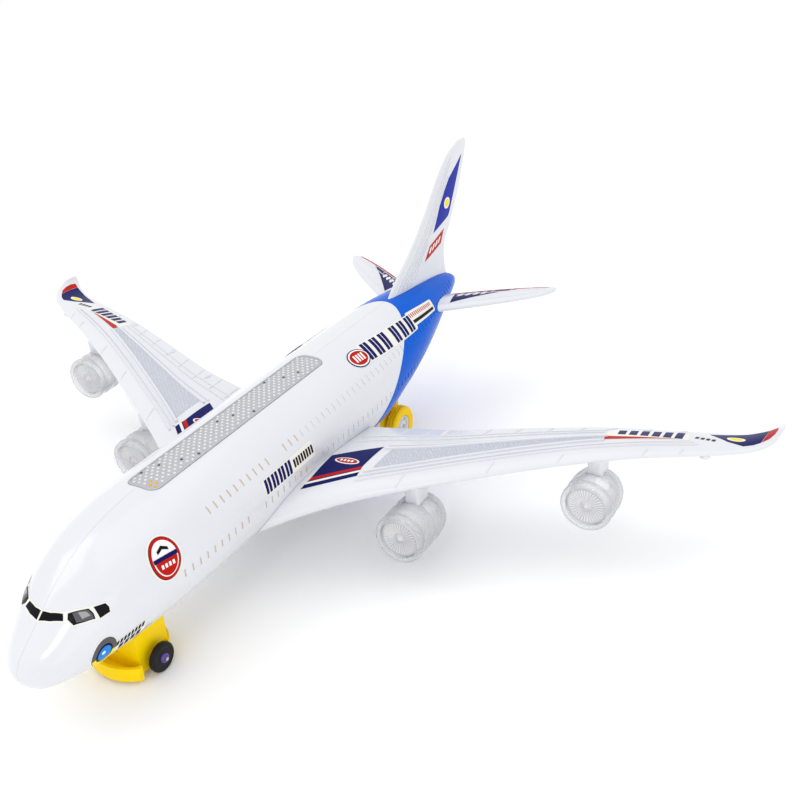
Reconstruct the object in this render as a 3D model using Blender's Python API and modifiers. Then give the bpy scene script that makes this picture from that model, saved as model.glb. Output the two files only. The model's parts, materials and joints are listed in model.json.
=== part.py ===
"""Four-engined toy airplane with a bump-and-go drive, as separate pieces.

Frame: metres, +Z up, nose towards -Y, port wing towards +X. The origin is on the
ground under the middle of the airplane. Every number below is in millimetres and
is turned into metres where a mesh is made.
"""
import math

import bmesh
import bpy
from mathutils import Matrix, Vector

MM = 0.001
GAP = 0.3                # clearance between pieces that touch
TIGHT = 0.15             # clearance on each side of a push-fit tab or a pin

# ---- fuselage -------------------------------------------------------------
WALL = 2.0
# y, top, bottom, half width of the oval section
HULL = [
    (-230.0, 43.0, 42.6, 0.3), (-228.6, 47.8, 37.0, 7.0), (-225.0, 52.3, 33.4, 12.0),
    (-218.0, 58.0, 30.6, 17.5), (-208.0, 66.2, 28.6, 22.6), (-196.0, 75.0, 27.5, 27.2),
    (-182.0, 82.6, 27.1, 31.2), (-164.0, 88.3, 27.0, 34.8), (-140.0, 91.2, 27.0, 37.0),
    (-112.0, 91.5, 27.0, 37.5), (45.0, 91.5, 27.0, 37.4), (80.0, 91.6, 34.0, 34.2),
    (110.0, 91.6, 42.0, 29.6), (140.0, 89.6, 50.5, 22.6), (168.0, 85.6, 58.8, 14.6),
    (190.0, 80.6, 65.0, 8.0), (200.0, 76.4, 67.6, 4.0), (204.0, 71.8, 71.2, 0.4),
]
HULL_STEPS = 2           # rings between two rows of the table
HULL_AROUND = 28
NOSE_Y, TAIL_Y = HULL[0][0], HULL[-1][0]

# The tail section starts at a curved line that leans forward going down.
BREAK_TOP = (109.0, 91.8)
BREAK_SLOPE, BREAK_CURVE = 2.15, 0.0125

# ---- openings of the fuselage --------------------------------------------
GRILLE_HALF, GRILLE_FRONT, GRILLE_REAR = 10.0, -135.6, 21.0
GRILLE_PROUD, GRILLE_THICK = 0.7, 2.0
DOOR_HALF, DOOR_FRONT, DOOR_REAR = 18.0, -60.0, 7.0
DOOR_SCREW_Y = 1.6
DOOR_LIP = 0.7           # extra room at the swinging end of the door
SWITCH_Y = 22.0
SWITCH_TRAVEL = 4.0
KNOB_BACK, KNOB_FRONT = 5.4, 1.0

# ---- wings: leading and trailing edge at stations along the span ----------
# x, lead y, lead z, trail y, trail z, thickness
WING = [
    (30.0, -88.0, 41.5, 24.0, 47.5, 15.0), (48.0, -68.0, 45.6, 24.8, 50.5, 13.5),
    (66.0, -52.5, 49.3, 26.4, 53.3, 11.5), (90.0, -36.8, 53.5, 30.1, 56.4, 9.2),
    (120.0, -19.0, 58.6, 38.8, 60.0, 7.6), (150.0, -1.5, 63.0, 48.9, 62.8, 6.6),
    (180.0, 15.2, 66.6, 59.4, 64.4, 5.8), (210.0, 31.3, 68.4, 69.0, 64.7, 4.8),
    (232.0, 43.0, 68.4, 76.0, 64.6, 4.0), (246.0, 51.5, 68.0, 80.0, 65.2, 3.4),
    (256.0, 58.0, 68.6, 84.4, 67.2, 3.0), (262.5, 64.5, 69.8, 88.5, 69.8, 2.6),
    (266.0, 71.5, 71.4, 91.0, 72.2, 2.4), (267.0, 78.0, 73.4, 91.0, 74.2, 1.8),
]
WING_LIFT = 0.70         # share of the thickness that lies above the chord line

# ---- engines --------------------------------------------------------------
ENGINES = {"inner": (96.0, -48.9, 30.6, 38.0), "outer": (182.6, 4.6, 44.1, 28.5)}
FAN_R = 10.0
PYLON_START = 0.46       # share of an engine's length in front of its pylon
PEG_BACK = 5.0           # distance of the wing's peg behind the pylon's front

# ---- tail surfaces --------------------------------------------------------
# z, lead y, trail y, thickness
FIN = [
    (76.0, 98.0, 196.5, 7.0), (83.0, 103.0, 192.6, 6.6), (94.0, 115.5, 191.6, 6.0),
    (101.5, 125.5, 192.5, 5.6), (112.5, 142.3, 200.5, 5.0), (132.0, 165.6, 214.5, 4.2),
    (150.0, 183.5, 224.0, 3.6), (160.0, 195.0, 228.3, 3.2), (166.5, 206.5, 230.0, 2.6),
    (169.4, 216.5, 228.6, 1.8),
]
# x, lead y, trail y, z, thickness
TAILPLANE = [
    (8.0, 128.5, 160.0, 75.2, 6.5), (20.0, 139.5, 169.8, 75.2, 5.8), (40.0, 155.0, 183.0, 75.6, 5.0),
    (60.0, 171.6, 194.6, 76.0, 4.2), (74.0, 185.4, 201.5, 76.2, 3.4), (80.0, 193.0, 203.6, 76.4, 2.6),
    (82.8, 198.6, 202.6, 76.5, 1.8),
]

# ---- drive unit -----------------------------------------------------------
PIVOT_Y = -161.0
DRIVE_WHEEL_R, DRIVE_WHEEL_X = 8.3, (18.0, 22.0)
DRIVE_AXLE_R = 1.0
TURNTABLE_R = 19.3
BUMPER_R, BUMPER_HALF = 28.3, 17.5
FLOOR_LOW, FLOOR_TOP, SKIRT_TOP = 2.4, 4.2, 10.4
BOX_HALF, BOX_FRONT, BOX_REAR, BOX_TOP = 14.5, -171.5, -149.5, 26.0
BOX_WALL = 1.5
DRUM_R, DRUM_TOP = 17.0, 42.0
MODULE = 0.5
TEETH = {"axle_gear": 20, "b_small": 10, "b_big": 22, "a_small": 10, "a_big": 24, "pinion": 8}
PIN_R = 0.9

# ---- rear wheels ----------------------------------------------------------
REAR_Y, REAR_R, REAR_X = 86.0, 13.5, (15.6, 22.6)
REAR_HUB_R = 7.0

AIRFRAME = bpy.data.collections.new("toy_airplane")
CUTTERS = bpy.data.collections.new("cutters")


def clear_scene():
    for thing in list(bpy.data.objects):
        bpy.data.objects.remove(thing, do_unlink=True)
    bpy.context.scene.collection.children.link(AIRFRAME)
    bpy.context.scene.collection.children.link(CUTTERS)


def material(name, colour, roughness, metallic=0.0, alpha=1.0):
    found = bpy.data.materials.get(name)
    if found:
        return found
    made = bpy.data.materials.new(name)
    made.use_nodes = True
    shader = made.node_tree.nodes["Principled BSDF"]
    shader.inputs["Base Color"].default_value = (*colour, 1.0)
    shader.inputs["Roughness"].default_value = roughness
    shader.inputs["Metallic"].default_value = metallic
    shader.inputs["Alpha"].default_value = alpha
    made.diffuse_color = (*colour, alpha)
    return made


WHITE = ("white_plastic", (0.86, 0.87, 0.89), 0.35)
BLUE = ("blue_plastic", (0.01, 0.13, 0.66), 0.35)
YELLOW = ("yellow_plastic", (0.95, 0.62, 0.02), 0.4)
CLEAR = ("clear_plastic", (0.9, 0.92, 0.95), 0.08, 0.0, 0.35)
BLACK = ("black_plastic", (0.02, 0.02, 0.02), 0.5)
PURPLE = ("purple_plastic", (0.10, 0.04, 0.30), 0.4)
STEEL = ("steel", (0.7, 0.7, 0.7), 0.3, 1.0)
BRASS = ("brass", (0.75, 0.55, 0.25), 0.35, 1.0)
GEAR = ("gear_plastic", (0.8, 0.8, 0.75), 0.45)
BOARD = ("board", (0.04, 0.25, 0.10), 0.5)
CELL = ("battery_wrap", (0.12, 0.12, 0.14), 0.35)


# ---- mesh makers ----------------------------------------------------------
def smooth(mesh, angle=30.0):
    mesh.shade_smooth()
    mesh.set_sharp_from_angle(angle=math.radians(angle))


def add_mesh(name, bm, look=None):
    """Turn a bmesh in millimetres into an object; without a look it is a cutter."""
    bmesh.ops.scale(bm, vec=(MM, MM, MM), verts=bm.verts)
    bmesh.ops.recalc_face_normals(bm, faces=bm.faces)
    mesh = bpy.data.meshes.new(name)
    bm.to_mesh(mesh)
    bm.free()
    thing = bpy.data.objects.new(name, mesh)
    if look:
        smooth(mesh)
        mesh.materials.append(material(*look))
        AIRFRAME.objects.link(thing)
    else:
        thing.hide_render = True
        thing.display_type = "WIRE"
        CUTTERS.objects.link(thing)
    return thing


def box_into(bm, low, high):
    size = [b - a for a, b in zip(low, high)]
    centre = [(a + b) / 2 for a, b in zip(low, high)]
    shape = Matrix.Translation(centre) @ Matrix.Diagonal((*size, 1.0))
    bmesh.ops.create_cube(bm, size=1.0, matrix=shape)


def box(name, low, high, look=None):
    bm = bmesh.new()
    box_into(bm, low, high)
    return add_mesh(name, bm, look)


def rod_into(bm, radius, start, end, segments=24, end_radius=None):
    start, end = Vector(start), Vector(end)
    along = end - start
    turn = along.to_track_quat("Z", "Y").to_matrix().to_4x4()
    shape = Matrix.Translation((start + end) / 2) @ turn
    tip = radius if end_radius is None else end_radius
    bmesh.ops.create_cone(bm, cap_ends=True, segments=segments, radius1=radius, radius2=tip,
                          depth=along.length, matrix=shape)


def rod(name, radius, start, end, look=None, segments=24, end_radius=None):
    bm = bmesh.new()
    rod_into(bm, radius, start, end, segments, end_radius)
    return add_mesh(name, bm, look)


def prism(name, outline, low, high, axis, look=None):
    """Extrude an outline; it lies in the plane of the two other axes, in X, Y, Z order."""
    def place(pair, level):
        point = list(pair)
        point.insert("xyz".index(axis), level)
        return point
    bm = bmesh.new()
    face = bm.faces.new([bm.verts.new(place(pair, low)) for pair in outline])
    grown = bmesh.ops.extrude_face_region(bm, geom=[face])
    corners = [v for v in grown["geom"] if isinstance(v, bmesh.types.BMVert)]
    shift = Vector(place((0.0, 0.0), high - low))
    bmesh.ops.translate(bm, verts=corners, vec=shift)
    return add_mesh(name, bm, look)


def loft_into(bm, rings):
    """Skin closed rings of equal length and close both ends."""
    rows = [[bm.verts.new(point) for point in ring] for ring in rings]
    count = len(rows[0])
    for low, high in zip(rows, rows[1:]):
        for i in range(count):
            j = (i + 1) % count
            bm.faces.new((low[i], low[j], high[j], high[i]))
    bm.faces.new(list(reversed(rows[0])))
    bm.faces.new(rows[-1])


def loft(name, rings, look=None):
    bm = bmesh.new()
    loft_into(bm, rings)
    return add_mesh(name, bm, look)


def turned(name, profile, centre, axis, look=None, steps=32):
    """Screw a closed profile of (radius, distance along the axis) round an axis.

    The profile runs up its inner side and down its outer side, so its faces point out.
    """
    mesh = bpy.data.meshes.new(name)
    points = [(radius * MM, 0.0, along * MM) for radius, along in profile]
    edges = [(i, (i + 1) % len(points)) for i in range(len(points))]
    mesh.from_pydata(points, edges, [])
    thing = bpy.data.objects.new(name, mesh)
    (AIRFRAME if look else CUTTERS).objects.link(thing)
    if look:
        mesh.materials.append(material(*look))
    else:
        thing.hide_render = True
        thing.display_type = "WIRE"
    thing.location = Vector(centre) * MM
    thing.rotation_euler = Vector(axis).to_track_quat("Z", "Y").to_euler()
    screw = thing.modifiers.new("turn", "SCREW")
    screw.steps = screw.render_steps = steps
    screw.use_merge_vertices = True
    screw.merge_threshold = 0.00001
    screw.use_smooth_shade = True
    return thing


def combine(thing, operation, *others):
    for other in others:
        step = thing.modifiers.new(operation.lower(), "BOOLEAN")
        step.operation = operation
        step.object = other
        step.solver = "EXACT"
    return thing


def cut(thing, *others):
    return combine(thing, "DIFFERENCE", *others)


def join(thing, *others):
    return combine(thing, "UNION", *others)


def keep(thing, *others):
    return combine(thing, "INTERSECT", *others)


def empty(name, place, parent=None):
    thing = bpy.data.objects.new(name, None)
    thing.location = Vector(place) * MM
    AIRFRAME.objects.link(thing)
    if parent:
        thing.parent = parent
        thing.matrix_parent_inverse = Matrix.Translation(-parent.location)
    return thing


def hang(parent, *things):
    """Parent pieces to an empty on their joint's axis and leave them in place."""
    for thing in things:
        thing.parent = parent
        thing.matrix_parent_inverse = Matrix.Translation(-parent.location)


# ---- fuselage -------------------------------------------------------------
def hull_size(y):
    """Top, bottom and half width at y, by a smooth curve through the HULL rows."""
    rows = HULL
    y = min(max(y, NOSE_Y), TAIL_Y)
    k = next(i for i in range(len(rows) - 1) if y <= rows[i + 1][0])
    left, right = rows[k], rows[k + 1]
    span = right[0] - left[0]
    t = (y - left[0]) / span
    before = rows[max(k - 1, 0)]
    after = rows[min(k + 2, len(rows) - 1)]

    def slope(a, b, c, column):
        first = (b[column] - a[column]) / max(b[0] - a[0], 1e-9)
        second = (c[column] - b[column]) / max(c[0] - b[0], 1e-9)
        if first * second <= 0.0:
            return 0.0
        return 2.0 * first * second / (first + second)

    def value(column):
        step = (right[column] - left[column]) / span
        m0 = slope(before, left, right, column) if k > 0 else step
        m1 = slope(left, right, after, column) if k + 2 < len(rows) else step
        a, b = left[column], right[column]
        return ((2 * t**3 - 3 * t**2 + 1) * a + (t**3 - 2 * t**2 + t) * span * m0
                + (3 * t**2 - 2 * t**3) * b + (t**3 - t**2) * span * m1)
    return value(1), value(2), value(3)


def hull_ring(y, grow):
    top, bottom, half = hull_size(y)
    high = max((top - bottom) / 2 + grow, 0.2)
    wide = max(half + grow, 0.2)
    middle = (top + bottom) / 2
    ring = []
    for i in range(HULL_AROUND):
        turn = 2 * math.pi * (i + 0.5) / HULL_AROUND
        ring.append((wide * math.sin(turn), y, middle + high * math.cos(turn)))
    return ring


def hull_rings(grow):
    """Rings of the fuselage skin, moved outwards by grow."""
    places = []
    for left, right in zip(HULL, HULL[1:]):
        parts = HULL_STEPS if right[0] - left[0] < 100 else 1
        places += [left[0] + (right[0] - left[0]) * i / parts for i in range(parts)]
    places.append(TAIL_Y)
    if grow < 0:
        places = [y for y in places if NOSE_Y - 1.6 * grow < y < TAIL_Y + 3.0 * grow]
    rings = [hull_ring(y, grow) for y in places]
    if grow > 0:
        rings[0] = [(x, y - grow, z) for x, y, z in rings[0]]
        rings[-1] = [(x, y + grow, z) for x, y, z in rings[-1]]
    return rings


def hull_solid(name, grow):
    return loft(name, hull_rings(grow))


def break_line(shift):
    """The line between the white shells and the tail, from the top down."""
    top_y, top_z = BREAK_TOP
    line = [(top_y + 12.0 + shift, top_z + 6.0)]
    for drop in (0.0, 5.0, 10.0, 16.0, 24.0, 33.0, 44.0, 56.0, 70.0):
        line.append((top_y + shift - BREAK_SLOPE * drop + BREAK_CURVE * drop**2, top_z - drop))
    return line


def half_region(name, side, front):
    """The space of one quarter of the hull: port or starboard, fore or aft of the break."""
    near, far = sorted((side * GAP / 2, side * 60.0))
    if front:
        outline = [(NOSE_Y - 10, 10), (NOSE_Y - 10, 110)] + break_line(-GAP / 2)
    else:
        outline = [(TAIL_Y + 10, 10), (TAIL_Y + 10, 110)] + break_line(GAP / 2)
    return prism(name, outline, near, far, "x")


def wing_tabs(side, grow, name):
    """Two tongues that plug a wing into its fuselage shell."""
    bm = bmesh.new()
    for front, rear, low, high in ((-50.0, -28.0, 45.5, 51.5), (-8.0, 10.0, 47.5, 53.0)):
        near, far = sorted((side * (27.0 - grow), side * 46.0))
        box_into(bm, (near, front - grow, low - grow), (far, rear + grow, high + grow))
    return add_mesh(name, bm)


def fin_tabs(grow, name):
    bm = bmesh.new()
    for front, rear in ((128.0, 140.0), (158.0, 172.0)):
        box_into(bm, (-1.4 - grow, front - grow, 72.0), (1.4 + grow, rear + grow, 96.0))
    return add_mesh(name, bm)


def tailplane_tab(side, grow, name):
    near, far = sorted((side * 6.0, side * 30.0))
    return box(name, (near, 146.0 - grow, 74.4 - grow), (far, 158.0 + grow, 76.8 + grow))


def screw_posts(side, name, places, trim):
    """Posts along X that end inside a shell's wall, where screws hold the halves together."""
    bm = bmesh.new()
    for y, z in places:
        rod_into(bm, 3.2, (side * GAP / 2, y, z), (side * 50.0, y, z), 12)
    return keep(add_mesh(name, bm), trim)


FRONT_POSTS = [(-195.0, 50.0), (-75.0, 62.0), (35.0, 66.0)]
REAR_POSTS = [(130.0, 62.0)]
RECESS = 4.0             # how deep a body screw's head sits


def build_fuselage():
    middle = hull_solid("hull_middle", -WALL / 2)
    room = hull_solid("hull_room", -WALL)
    grille_hole = box("grille_hole", (-GRILLE_HALF - GAP, GRILLE_FRONT - GAP, 80),
                      (GRILLE_HALF + GAP, GRILLE_REAR + GAP, 100))
    door_hole = box("door_hole", (-DOOR_HALF - GAP, DOOR_FRONT - GAP, 20),
                    (DOOR_HALF + GAP, DOOR_REAR + DOOR_LIP, 42))
    drum_hole = rod("drum_hole", DRUM_R + 0.7, (0, PIVOT_Y, 15), (0, PIVOT_Y, 45), segments=40)
    switch_hole = box("switch_hole", (-2.6, SWITCH_Y - KNOB_BACK - 0.6, 20),
                      (2.6, SWITCH_Y + KNOB_FRONT + SWITCH_TRAVEL + 1.0, 34))
    fin_hole = fin_tabs(TIGHT, "fin_hole")
    bracket_hole = box("bracket_hole", (-6 - TIGHT, REAR_Y - 8 - TIGHT, 20),
                       (6 + TIGHT, REAR_Y + 8 + TIGHT, 50))
    for side, word in ((1, "left"), (-1, "right")):
        front = half_region(f"front_region_{word}", side, True)
        rear = half_region(f"rear_region_{word}", side, False)
        front_posts = screw_posts(side, f"front_posts_{word}", FRONT_POSTS, middle)
        rear_posts = screw_posts(side, f"rear_posts_{word}", REAR_POSTS, middle)
        wing_hole = wing_tabs(side, TIGHT, f"wing_hole_{word}")
        plane_hole = tailplane_tab(side, TIGHT, f"tailplane_hole_{word}")

        shell = loft(f"fuselage_{word}", hull_rings(0.0), WHITE)
        cut(shell, room)
        join(shell, front_posts)
        keep(shell, front)
        cut(shell, grille_hole, door_hole, drum_hole, switch_hole, wing_hole,
            *screw_bores(side, FRONT_POSTS, f"front_bores_{word}"))

        tail = loft(f"tail_{word}", hull_rings(0.0), BLUE)
        cut(tail, room)
        join(tail, rear_posts)
        keep(tail, rear)
        cut(tail, fin_hole, plane_hole, bracket_hole, switch_hole,
            *screw_bores(side, REAR_POSTS, f"rear_bores_{word}"))


def screw_bores(side, places, name):
    """A pilot hole in each port post; a through hole and a head recess to starboard."""
    bores, seats = bmesh.new(), bmesh.new()
    for y, z in places:
        half = hull_size(y)[2]
        if side > 0:
            rod_into(bores, 1.2, (-1, y, z), (14, y, z), 12)
        else:
            rod_into(bores, 1.5, (1, y, z), (-half - 2, y, z), 12)
            rod_into(seats, 2.9, (RECESS - half, y, z), (-half - 3, y, z), 12)
    made = [add_mesh(name, bores)]
    if side < 0:
        made.append(add_mesh(f"{name}_seats", seats))
    return made


def build_body_screws():
    for number, (y, z) in enumerate(FRONT_POSTS + REAR_POSTS, 1):
        half = hull_size(y)[2]
        seat = RECESS - GAP - half
        screw = rod(f"body_screw_{number}", 0.95, (12.0, y, z), (seat - 0.5, y, z), STEEL, 10)
        top = rod(f"body_screw_head_{number}", 2.5, (seat, y, z), (seat - 1.6, y, z), segments=16)
        slot = box(f"body_screw_slot_{number}", (seat - 2.2, y - 0.4, z - 1.7),
                   (seat - 0.8, y + 0.4, z + 1.7))
        join(screw, top)
        cut(screw, slot)


def build_grille():
    grille = loft("top_grille", hull_rings(GRILLE_PROUD), CLEAR)
    cut(grille, hull_solid("grille_inside", GRILLE_PROUD - GRILLE_THICK))
    keep(grille, box("grille_region", (-GRILLE_HALF, GRILLE_FRONT, 80), (GRILLE_HALF, GRILLE_REAR, 100)))


# ---- wings and tail surfaces ---------------------------------------------
# share of the chord, share of the thickness
FOIL = [(0.0, 0.0), (0.015, 0.32), (0.06, 0.62), (0.16, 0.90), (0.34, 1.0), (0.60, 0.80),
        (0.82, 0.42), (1.0, 0.08)]


def foil_ring(lead, trail, thick, lift):
    """A closed wing section between two edge points, lift being the share above."""
    lead, trail = Vector(lead), Vector(trail)
    up = Vector((0.0, 0.0, 1.0))
    above = [lead.lerp(trail, s) + up * thick * lift * h for s, h in FOIL]
    below = [lead.lerp(trail, s) - up * thick * (1 - lift) * h for s, h in reversed(FOIL[1:])]
    return [tuple(point) for point in above + below]


def build_wing(side, word, room):
    rings = [foil_ring((side * x, ly, lz), (side * x, ty, tz), thick, WING_LIFT)
             for x, ly, lz, ty, tz, thick in WING]
    wing = loft(f"wing_{word}", rings, WHITE)
    cut(wing, room)
    join(wing, wing_tabs(side, 0.0, f"wing_tabs_{word}"))
    for place, (x, front, z, length) in ENGINES.items():
        join(wing, pylon(side * x, front, z, length, f"pylon_{word}_{place}"))
        peg_y = front + PYLON_START * length + PEG_BACK
        join(wing, rod(f"peg_{word}_{place}", 1.8, (side * x, peg_y, z + 20),
                       (side * x, peg_y, z + 8.4), segments=12))


def wing_height(x, y):
    """Height of the chord line at a place on the wing."""
    k = next(i for i in range(len(WING) - 1) if x <= WING[i + 1][0])
    a, b = WING[k], WING[k + 1]
    t = (x - a[0]) / (b[0] - a[0])
    ly, lz, ty, tz = (a[i] + (b[i] - a[i]) * t for i in (1, 2, 3, 4))
    return lz + (tz - lz) * (y - ly) / (ty - ly)


def pylon(x, front, z, length, name):
    """The block between wing and engine, longer where it meets the wing."""
    seat = z + nacelle_radius(length, 0.62 * length) + GAP
    top = wing_height(abs(x), front + 26)
    start = front + PYLON_START * length
    outline = [(start, seat), (start - 1.0, top + 0.5), (front + 33, top + 1.0), (start + 11.5, seat)]
    return prism(name, outline, x - 4.5, x + 4.5, "x")


def nacelle_outline(length):
    """Outside of an engine: a lip, three swelling rings and a rounded back."""
    return [(12.6, 0.0), (13.8, 1.4), (14.0, 6.4), (14.8, 8.6), (14.9, length * 0.62),
            (14.2, length * 0.74), (12.6, length * 0.87), (9.4, length * 0.96), (5.0, length)]


def nacelle_radius(length, along):
    rows = nacelle_outline(length)
    return max(r for r, s in rows if abs(s - along) < 6.0)


def build_engines():
    for side, word in ((1, "left"), (-1, "right")):
        for place, (x, front, z, length) in ENGINES.items():
            outline = nacelle_outline(length)
            inside = [(4.0, length - 1.8), (10.6, length * 0.88), (13.0, length * 0.66), (13.2, 9.0),
                      (11.4, 0.0)]
            nacelle = turned(f"nacelle_{word}_{place}", list(reversed(outline + inside)),
                             (side * x, front, z), (0, 1, 0), CLEAR, 24)
            peg_y = front + PYLON_START * length + PEG_BACK
            hole = rod(f"peg_hole_{word}_{place}", 2.1, (side * x, peg_y, z + 20),
                       (side * x, peg_y, z + 8), segments=12)
            cut(nacelle, hole)
            build_fan(side * x, front, z, f"fan_{word}_{place}")


def build_fan(x, front, z, name):
    """A disc with radial blades raised on its front and a round hub."""
    fan = rod(name, FAN_R + 1.1, (x, front + 3.6, z), (x, front + 2.2, z), CLEAR, 28)
    hub = rod(f"{name}_hub", 2.6, (x, front + 3.0, z), (x, front + 1.0, z), segments=16, end_radius=1.6)
    join(fan, hub)


def build_fin(room):
    rings = []
    for z, lead, trail, thick in FIN:
        above = [(thick / 2 * h, lead + (trail - lead) * s, z) for s, h in FOIL]
        below = [(-thick / 2 * h, lead + (trail - lead) * s, z) for s, h in reversed(FOIL[1:])]
        rings.append(above + below)
    fin = loft("fin", rings, WHITE)
    cut(fin, room)
    join(fin, fin_tabs(0.0, "fin_tabs"))


def build_tailplane(side, word, room):
    rings = [foil_ring((side * x, lead, z), (side * x, trail, z + 0.6), thick, 0.5)
             for x, lead, trail, z, thick in TAILPLANE]
    plane = loft(f"tailplane_{word}", rings, WHITE)
    cut(plane, room)
    join(plane, tailplane_tab(side, 0.0, f"tailplane_tab_{word}"))


# ---- belly: battery compartment, door, switch ----------------------------
def build_door():
    pin = empty("battery_door_hinge", (0, DOOR_FRONT, HULL[9][2]))
    door = loft("battery_door", hull_rings(0.0), WHITE)
    cut(door, bpy.data.objects["hull_room"])
    keep(door, box("door_region", (-DOOR_HALF, DOOR_FRONT, 20), (DOOR_HALF, DOOR_REAR, 42)))
    for x in (-9.0, 9.0):
        tab = ((x - 3, DOOR_FRONT - 3.5, 30.9), (x + 3, DOOR_FRONT + 3.0, 32.2))
        foot = ((x - 3, DOOR_FRONT + 0.5, 28.0), (x + 3, DOOR_FRONT + 3.0, 31.5))
        join(door, box(f"door_tab_{x:+.0f}", *tab), box(f"door_foot_{x:+.0f}", *foot))
    hole = rod("door_screw_hole", 1.5, (0, DOOR_SCREW_Y, 20), (0, DOOR_SCREW_Y, 40), segments=12)
    seat = rod("door_screw_seat", 3.2, (0, DOOR_SCREW_Y, 20), (0, DOOR_SCREW_Y, 28.1), segments=20)
    ring = rod("door_screw_ring", 4.4, (0, DOOR_SCREW_Y, 27.6), (0, DOOR_SCREW_Y, 30.6), segments=20)
    join(door, ring)
    cut(door, hole, seat)
    screw = rod("door_screw", 1.1, (0, DOOR_SCREW_Y, 27.4), (0, DOOR_SCREW_Y, 36.0), STEEL, 12)
    head = rod("door_screw_head", 2.6, (0, DOOR_SCREW_Y, 27.0), (0, DOOR_SCREW_Y, 27.8), segments=16)
    slot = box("door_screw_slot", (-1.9, DOOR_SCREW_Y - 0.3, 26.5), (1.9, DOOR_SCREW_Y + 0.3, 27.3))
    join(screw, head)
    cut(screw, slot)
    hang(pin, door, screw)


CELL_R, CELL_LENGTH, CELL_PITCH = 7.1, 49.5, 14.8
CELL_FRONT, CELL_Z = -56.0, 41.5
TRAY_HALF, TRAY_FRONT, TRAY_REAR = 23.6, -60.5, -1.0
TRAY_LOW, TRAY_TOP, TRAY_WALL = 38.5, 51.5, 1.4


def build_battery_tray():
    """An upside-down tray over three cells, with a contact plate at each end."""
    inner = TRAY_HALF - TRAY_WALL
    tray = box("battery_tray", (-TRAY_HALF, TRAY_FRONT, TRAY_LOW), (TRAY_HALF, TRAY_REAR, TRAY_TOP), GEAR)
    cut(tray, box("tray_room", (-inner, TRAY_FRONT + TRAY_WALL, TRAY_LOW - 8),
                  (inner, TRAY_REAR - TRAY_WALL, TRAY_TOP - TRAY_WALL)))
    join(tray, rod("tray_boss", 3.4, (0, DOOR_SCREW_Y, 33.0), (0, DOOR_SCREW_Y, TRAY_TOP - 0.5),
                   segments=16))
    cut(tray, rod("tray_boss_bore", 1.8, (0, DOOR_SCREW_Y, 30), (0, DOOR_SCREW_Y, 46), segments=12))
    rear = CELL_FRONT + CELL_LENGTH
    for number in (1, 2, 3):
        x = CELL_PITCH * (number - 2)
        cell = rod(f"battery_{number}", CELL_R, (x, CELL_FRONT, CELL_Z), (x, rear - 1.5, CELL_Z), CELL, 24)
        nub = (rear - 2.0, rear) if number % 2 else (CELL_FRONT + 0.5, CELL_FRONT - 1.5)
        join(cell, rod(f"battery_nub_{number}", 2.7, (x, nub[0], CELL_Z), (x, nub[1], CELL_Z), segments=16))
    box("contact_plate_front", (-21.5, -58.7, 37.5), (21.5, -58.0, 47.5), STEEL)
    box("contact_plate_rear", (-21.5, -3.6, 40.5), (21.5, -2.9, 47.5), STEEL)


def build_switch():
    knob = box("power_switch_knob", (-2.0, SWITCH_Y - KNOB_BACK, 27.6),
               (2.0, SWITCH_Y + KNOB_FRONT, 31.2), BLACK)
    join(knob, box("switch_thumb", (-1.6, SWITCH_Y - 3.9, 25.6), (1.6, SWITCH_Y - 0.9, 29.0)))
    box("power_switch_body", (-4.2, SWITCH_Y - 9.0, 31.6), (4.2, SWITCH_Y + 9.0, 37.0), STEEL)
    hang(empty("power_switch_slide", (0, SWITCH_Y, 29.0)), knob)


def build_electronics():
    box("circuit_board", (-9.0, -126.0, 79.0), (9.0, 8.0, 80.4), BOARD)
    for word, y in (("front", -112.0), ("middle", -58.0), ("rear", -4.0)):
        lamp = rod(f"lamp_{word}", 2.5, (0, y, 80.7), (0, y, 85.0), CLEAR, 16)
        dome = rod(f"lamp_dome_{word}", 2.3, (0, y, 84.6), (0, y, 87.0), segments=16, end_radius=1.0)
        join(lamp, dome)
    speaker = rod("speaker", 14.0, (0, -92.0, 70.0), (0, -92.0, 73.0), BLACK, 32)
    join(speaker, rod("speaker_magnet", 7.5, (0, -92.0, 66.0), (0, -92.0, 70.5), segments=24))


# ---- drive unit -----------------------------------------------------------
def circle_arc(radius, centre_y, start, end, count):
    points = []
    for i in range(count + 1):
        turn = math.radians(start + (end - start) * i / count)
        points.append((radius * math.sin(turn), centre_y + radius * math.cos(turn)))
    return points


def base_outline(inset):
    """Plan of the turntable: round at the back, a broad bumper arc at the front."""
    half = BUMPER_HALF - inset
    radius = BUMPER_R - inset
    centre_y = PIVOT_Y + 8.4
    swing = math.degrees(math.asin(half / radius))
    front = circle_arc(radius, centre_y, 180 - swing, 180 + swing, 10)
    back = circle_arc(TURNTABLE_R - inset, PIVOT_Y, -68, 68, 14)
    return front + back


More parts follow.
